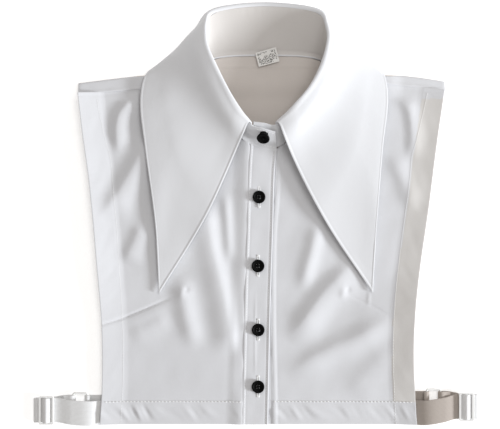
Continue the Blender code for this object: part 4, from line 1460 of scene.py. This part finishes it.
@dataclass
class Buttons:
    """Five round rimmed buttons with four holes, sewn on with dark thread."""

    finish: bpy.types.Material
    thread: bpy.types.Material
    radius: float = 6.0
    height: float = 2.4
    hole: float = 0.75
    hole_ring: float = 1.35
    shank: float = 5.0

    def blank(self) -> bpy.types.Mesh:
        """One button in metres, face up with its back at the origin."""
        r, h = self.radius, self.height
        profile = (
            (0.0, 0.0), (r - 1.6, 0.0), (r - 0.7, 0.25), (r - 0.12, 0.85), (r, 1.3), (r - 0.08, h - 0.55),
            (r - 0.35, h - 0.14), (r - 0.75, h), (r - 1.25, h - 0.08), (r - 1.75, h - 0.45), (r - 2.4, h - 0.78),
            (r - 3.4, h - 0.9), (0.0, h - 0.92),
        )
        data = bmesh.new()
        verts = [data.verts.new((x, 0.0, z)) for x, z in profile]
        edges = [data.edges.new(pair) for pair in zip(verts, verts[1:])]
        bmesh.ops.spin(
            data, geom=verts + edges, cent=(0, 0, 0), axis=(0, 0, 1), angle=2 * math.pi, steps=48, use_merge=True
        )
        bmesh.ops.remove_doubles(data, verts=data.verts[:], dist=0.005)
        bmesh.ops.recalc_face_normals(data, faces=data.faces[:])
        mesh = bpy.data.meshes.new("button_blank")
        data.to_mesh(mesh)
        data.free()
        disc = bpy.data.objects.new("button_blank", mesh)
        bpy.context.scene.collection.objects.link(disc)
        drill = bmesh.new()
        for quarter in range(4):
            angle = math.pi / 4 + quarter * math.pi / 2
            where = Matrix.Translation(
                (self.hole_ring * math.cos(angle), self.hole_ring * math.sin(angle), self.height / 2)
            )
            bmesh.ops.create_cone(
                drill, cap_ends=True, segments=16, radius1=self.hole, radius2=self.hole, depth=6.0, matrix=where
            )
        drill_mesh = bpy.data.meshes.new("button_drill")
        drill.to_mesh(drill_mesh)
        drill.free()
        bit = bpy.data.objects.new("button_drill", drill_mesh)
        bpy.context.scene.collection.objects.link(bit)
        cut = disc.modifiers.new("holes", "BOOLEAN")
        cut.operation = "DIFFERENCE"
        cut.solver = "EXACT"
        cut.object = bit
        bpy.context.view_layer.update()
        done = bpy.data.meshes.new_from_object(disc.evaluated_get(bpy.context.evaluated_depsgraph_get()))
        for item in (disc, bit):
            bpy.data.objects.remove(item, do_unlink=True)
        return done

    def build(self, places: Sequence[tuple[Vector, Vector]]) -> list[bpy.types.Object]:
        """Build every button and its sewing.

        Args:
            places: Centre of the back and the face's direction, top button first.

        Returns:
            The buttons.
        """
        blank = self.blank()
        made = []
        for index, (centre, facing) in enumerate(places):
            turn = facing.to_track_quat("Z", "X").to_matrix().to_4x4()
            stand = Matrix.Translation(centre) @ turn
            data = bmesh.new()
            data.from_mesh(blank)
            bmesh.ops.transform(data, matrix=stand, verts=data.verts)
            piece = settle(f"button_face_{index + 1}", data, self.finish)
            piece.data.polygons.foreach_set("use_smooth", [True] * len(piece.data.polygons))
            smooth = piece.modifiers.new("edge", "WEIGHTED_NORMAL")
            smooth.keep_sharp = True
            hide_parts(f"button_{index + 1}")
            made.append(piece)
            sewn = []
            top = self.height - 0.55
            for slope in (1.0, -1.0):
                for shift in (-0.16, 0.16):
                    reach = self.hole_ring * 0.72
                    line = np.array(
                        [
                            stand @ Vector((-reach + shift, (-reach - shift) * slope, top)),
                            stand @ Vector((reach + shift, (reach - shift) * slope, top)),
                        ]
                    )
                    sewn += Seam(length=2.9, pitch=2.6, width=0.42, height=0.3, seed=2).places(
                        line, np.array([facing, facing])
                    )
            sewn.append(stand @ Matrix.Translation((0.0, 0.0, -0.1)) @ Matrix.Diagonal((1.5, 1.5, 1.0, 1.0)))
            if index == 0:
                for turn_down in range(5):
                    sunk = Matrix.Translation((0.0, 0.0, -0.2 - 0.8 * turn_down))
                    sewn.append(stand @ sunk @ Matrix.Diagonal((self.shank, self.shank, 0.5, 1.0)))
            sew(f"button_thread_{index + 1}", sewn, self.thread)
        bpy.data.meshes.remove(blank)
        return made


@dataclass
class StrapSet:
    """Elastic through its slider and ring on one side, the ring on a short stub from the back."""

    side: Side
    finish: bpy.types.Material
    plastic: bpy.types.Material
    hem_x: float
    slant: float
    slider: tuple[float, float, float]
    rise: tuple[float, float]
    ring: tuple[float, float]
    width: float = 22.8
    bar: float = 5.9
    slider_thick: float = 1.9
    ring_wide: float = 15.0
    wire: float = 1.0
    # Plain elastic for the end round the slider; the left strap's own finish is a copy with painted shade.
    end_finish: bpy.types.Material | None = None

    def route(self) -> list[tuple[float, float, float]]:
        """Middle line of the elastic from the front hem, round the slider and back to the ring."""
        side = self.side.value
        sx, (slider_x, slider_y, slider_z) = self.bar, self.slider
        under = self.slider_thick / 2 + SEAM_GAP + 0.2 + ELASTIC / 2
        low = ELASTIC / 2
        bar_z = ELASTIC + SEAM_GAP + 0.1 + self.wire
        over = bar_z + self.wire + SEAM_GAP + 0.1 + ELASTIC / 2
        ring_x, ring_y = self.ring
        near = ring_x + side * (self.ring_wide / 2 - self.wire)
        wrap = self.wire + 0.5 + ELASTIC / 2
        drop = self.rise[1] - self.rise[0]
        return [
            (self.hem_x + side * 0.35, self.rise[0], 3.0),
            (self.hem_x + side * 2.5, self.rise[0], 3.5),
            (self.hem_x + side * 8.0, self.rise[0] + 0.1 * drop, over + ELASTIC + 0.35),
            (self.hem_x + side * 26.0, self.rise[0] + 0.7 * drop, over + ELASTIC + 0.5),
            (slider_x - side * (sx + 2.6), slider_y, slider_z - under + 0.1),
            (slider_x - side * sx, slider_y, slider_z - under),
            (slider_x, slider_y, slider_z + under),
            (slider_x + side * sx, slider_y, slider_z - under),
            (slider_x + side * (sx + 4.4), slider_y - 0.2, slider_z - under + 0.3),
            (slider_x + side * (sx + 6.3), slider_y - 0.4, (slider_z - under + low) / 2),
            (slider_x + side * (sx + 4.4), slider_y - 0.2, low + 0.02),
            (slider_x - side * 2.0, slider_y, low),
            (near + side * 6.0, ring_y, low),
            (near, ring_y, low),
            (near - side * wrap, ring_y, bar_z),
            (near, ring_y, over),
            (near + side * 6.0, ring_y, over - 1.0),
            (near + side * 9.0, ring_y, over - 1.4),
        ]

    def stub_route(self) -> list[tuple[float, float, float]]:
        """Middle line of the stub from the back panel round the ring."""
        side = self.side.value
        low = ELASTIC / 2
        bar_z = ELASTIC + SEAM_GAP + 0.1 + self.wire
        over = bar_z + self.wire + SEAM_GAP + 0.1 + ELASTIC / 2
        ring_x, ring_y = self.ring
        far = ring_x - side * (self.ring_wide / 2 - self.wire)
        wrap = self.wire + 0.5 + ELASTIC / 2
        return [
            (self.hem_x - side * 0.6, ring_y, low),
            (self.hem_x + side * 4.0, ring_y, low),
            (far, ring_y, low),
            (far + side * wrap, ring_y, bar_z),
            (far, ring_y, over),
            (far - side * 2.4, ring_y, over - 0.4),
        ]

    def ribbon(self, name: str, route: Sequence[Sequence[float]], cells: int, node: str) -> bpy.types.Object:
        """Elastic along a route.

        Args:
            name: The piece's name.
            route: Its middle line.
            cells: Cells along it.
            node: The solid that it stands for.

        Returns:
            The elastic.
        """
        curve = Curve.through(route)
        length = float(np.linalg.norm(np.diff(curve.at(np.linspace(0, 1, 400)), axis=0), axis=1).sum())

        def place(u: Array, v: Array) -> Array:
            here = curve.at(u)
            x = here[:, 0] + self.slant * (v - 0.5) * np.maximum(0.0, 1.0 - 8.0 * u)
            rib = 0.05 * np.sin(v * self.width * 2 * math.pi / 1.9)
            return stack(x, here[:, 1] + (v - 0.5) * self.width, np.maximum(here[:, 2], ELASTIC / 2) + rib * 0.6)

        piece = lay_cloth(
            name, place, (cells, 36), (length, self.width), (ELASTIC - 0.15, Lay.MIDDLE), self.finish
        )
        piece["flat_length"] = length * MM
        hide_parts(node)
        return piece

    def build(self) -> tuple[bpy.types.Object, bpy.types.Object]:
        """Build the strap and the stub, and finish the slider and ring.

        Returns:
            The strap and the stub.
        """
        tag = "right" if self.side is Side.RIGHT else "left"
        strap = self.ribbon(f"elastic_{tag}", self.route(), 260, f"strap_{tag}")
        # The end round the slider takes the plain elastic; the rest keeps the strap's finish, which is painted shade on
        # the left strap.
        if self.end_finish:
            start = self.slider[0] - self.bar - 1.0
            paint(strap, self.end_finish, lambda x, y, z: x > start)
        stub = self.ribbon(f"elastic_stub_{tag}", self.stub_route(), 90, f"strap_stub_{tag}")
        for node in (f"slider_{tag}", f"ring_{tag}"):
            for slot_index in range(len(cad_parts[node].material_slots)):
                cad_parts[node].material_slots[slot_index].material = self.plastic
        return strap, stub


@dataclass
class Label:
    """Small printed label on the back neck seam."""

    finish: bpy.types.Material
    centre: tuple[float, float] = (9.4, 146.8)
    size: tuple[float, float] = (20.0, 13.4)
    tilt: float = 15.0

    def place(self, u: Array, v: Array) -> Array:
        """Upper face of the label."""
        turn = math.radians(self.tilt)
        across, up = (u - 0.5) * self.size[0], (v - 0.5) * self.size[1]
        x = self.centre[0] + across * math.cos(turn) - up * math.sin(turn)
        y = self.centre[1] + across * math.sin(turn) + up * math.cos(turn)
        ends = 0.25 * bell(self.size[0] / 2 - np.abs(across), 1.6)
        return stack(x, y, 5.7 + 0.22 * np.maximum(0.0, y - 147.5) + ends + 0.12 * np.sin(across / 2.1))

    def build(self) -> bpy.types.Object:
        """Build the label."""
        piece = lay_cloth("label_cloth", self.place, (40, 28), self.size, (0.7, Lay.BELOW), self.finish)
        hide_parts("neck_label")
        return piece


@dataclass(frozen=True)
class Studio:
    """Camera straight above, soft window light from the right, pale floor."""

    camera_x: float = -6.8
    camera_z: float = 850.0
    frame_wide: float = 470.0

    def light(
        self, name: str, at: Colour, power: float, size: float, colour: Colour, aim: Colour = (0.0, 0.0, 0.0)
    ) -> None:
        """Add one soft square light.

        Args:
            name: Its name.
            at: Its place in metres.
            power: Watts.
            size: Side in metres.
            colour: Its colour.
            aim: The point it faces.
        """
        lamp = bpy.data.lights.new(name, "AREA")
        lamp.energy = power
        lamp.size = size
        lamp.color = colour
        item = bpy.data.objects.new(name, lamp)
        item.location = at
        item.rotation_euler = (Vector(aim) - Vector(at)).to_track_quat("-Z", "Y").to_euler()
        bpy.context.scene.collection.objects.link(item)

    def build(self) -> None:
        """Make the camera, the lights, the sky and the floor."""
        lens = bpy.data.cameras.new("camera")
        lens.sensor_width = 36.0
        lens.lens = 36.0 * self.camera_z / self.frame_wide
        lens.clip_start, lens.clip_end = 0.05, 20.0
        camera = bpy.data.objects.new("camera", lens)
        camera.location = (self.camera_x * MM, 0.0, self.camera_z * MM)
        bpy.context.scene.collection.objects.link(camera)
        bpy.context.scene.camera = camera
        self.light("key", (3.687, -1.057, 1.136), 205.0, 0.8, (0.925, 0.96, 1.0))
        self.light("top", (0.40, 0.60, 1.15), 5.2, 0.7, (1.0, 1.0, 1.0))
        world = bpy.data.worlds.new("room")
        world.use_nodes = True
        sky = world.node_tree.nodes["Background"]
        sky.inputs[0].default_value = (1.0, 0.962, 0.93, 1.0)
        sky.inputs[1].default_value = 0.49
        bpy.context.scene.world = world
        bpy.context.scene.view_settings.view_transform = "Standard"
        data = bmesh.new()
        bmesh.ops.create_grid(data, x_segments=4, y_segments=4, size=14000.0)
        bmesh.ops.translate(data, vec=(0.0, 0.0, -0.1), verts=data.verts)
        bmesh.ops.scale(data, vec=(MM, MM, MM), verts=data.verts)
        mesh = bpy.data.meshes.new("floor")
        data.to_mesh(mesh)
        data.free()
        mesh.materials.append(Paper("floor_paper", (0.96, 0.96, 0.955)).make())
        floor = bpy.data.objects.new("floor", mesh)
        bpy.context.scene.collection.objects.link(floor)


def flat_area(piece: bpy.types.Object) -> float:
    """Area in square metres of one face of a piece's cloth."""
    return sum(face.area for face in piece.data.polygons)


def main() -> None:
    """Build the garment piece by piece and log the cloth areas of the panels, bands, leaf and stand."""
    logging.basicConfig(level=logging.INFO, format="%(name)s: %(message)s")
    Studio().build()
    shirting = Cotton("shirting", (0.662, 0.668, 0.692), (0.612, 0.616, 0.632)).make()
    # Painted shade: warm, darker copy of the shirting for the wearer's left armhole band.
    warm = Cotton("shirting_band_painted_shade", (0.66, 0.644, 0.627), (0.61, 0.594, 0.574)).make()
    # Painted shade: warm, darker copy of the shirting for the back panel seen inside the neck.
    inner = Cotton("shirting_inner_painted_shade", (0.63, 0.585, 0.55), (0.57, 0.525, 0.485)).make()
    # Painted shade: warm, darker copy of the collar cloth for the inside of the stand.
    stand_shade_cloth = Cotton("stand_inside_painted_shade", (0.61, 0.585, 0.565), (0.56, 0.535, 0.51)).make()
    crisp = Cotton("collar_cloth", (0.70, 0.708, 0.73), (0.66, 0.665, 0.68), relief=0.04).make()
    thread = Thread("white_thread", (0.90, 0.90, 0.89), (0.80, 0.80, 0.79)).make()
    dark_thread = Thread("dark_thread", (0.006, 0.006, 0.006), (0.003, 0.003, 0.003), sheen=0.0, gloss=0.1).make()
    elastic = Webbing("elastic", (0.80, 0.805, 0.81), (0.72, 0.72, 0.72)).make()
    # Painted shade: darker, warmer copy of the elastic for the wearer's left strap.
    shaded_elastic = Webbing("elastic_painted_shade", (0.45, 0.40, 0.36), (0.38, 0.335, 0.30)).make()
    plastic = Moulded("white_plastic", (0.82, 0.82, 0.81), (0.76, 0.76, 0.745), 0.34).make()
    horn = Moulded("black_button", (0.002, 0.002, 0.002), (0.005, 0.0048, 0.0045), 0.5, gloss=0.06).make()
    tape = PrintedTape("label_print", (0.80, 0.79, 0.765), (0.04, 0.04, 0.035)).make()

    back = BackPanel(inner, shirting).build()
    LOG.info("back panel: %.4f m2", flat_area(back))
    fronts = [Front(side, shirting, warm, thread, crumple=Crumple(11 + side.value, 0.07)).build() for side in Side]
    for piece in fronts:
        LOG.info("%s: %.4f m2", piece.name, flat_area(piece))
    bands = Bands(shirting, thread)
    placket = bands.build()
    under = bpy.data.objects["button_band_cloth"]
    LOG.info("bands: %.4f and %.4f m2", flat_area(placket), flat_area(under))
    leaf, stand = Collar(crisp, stand_shade_cloth, thread).build()
    LOG.info("leaf: %.4f m2, stand: %.4f m2", flat_area(leaf), flat_area(stand))
    places = [(Vector((5.5, 70.8, 18.6)), Vector((-0.13, -0.71, 0.69)).normalized())]
    for x, y in bands.buttons:
        z = float(BEDS.front(np.array(x), np.array(y))) + BEDS.band_lift + FRONT_CLOTH + 0.5
        places.append((Vector((x, y, z)), Vector((0.0, 0.0, 1.0))))
    Buttons(horn, dark_thread).build(places)
    straps = [
        StrapSet(
            Side.RIGHT, elastic, plastic, -146.3, 1.5, (-197.1, -183.1, 5.0), (-185.9, -184.6), (-165.8, -180.7)
        ).build(),
        StrapSet(
            Side.LEFT,
            shaded_elastic,
            plastic,
            148.2,
            -1.6,
            (195.6, -179.9, 5.0),
            (-185.6, -181.0),
            (165.2, -177.2),
            end_finish=elastic,
        ).build(),
    ]
    label = Label(tape).build()


if __name__ == "__main__":
    main()
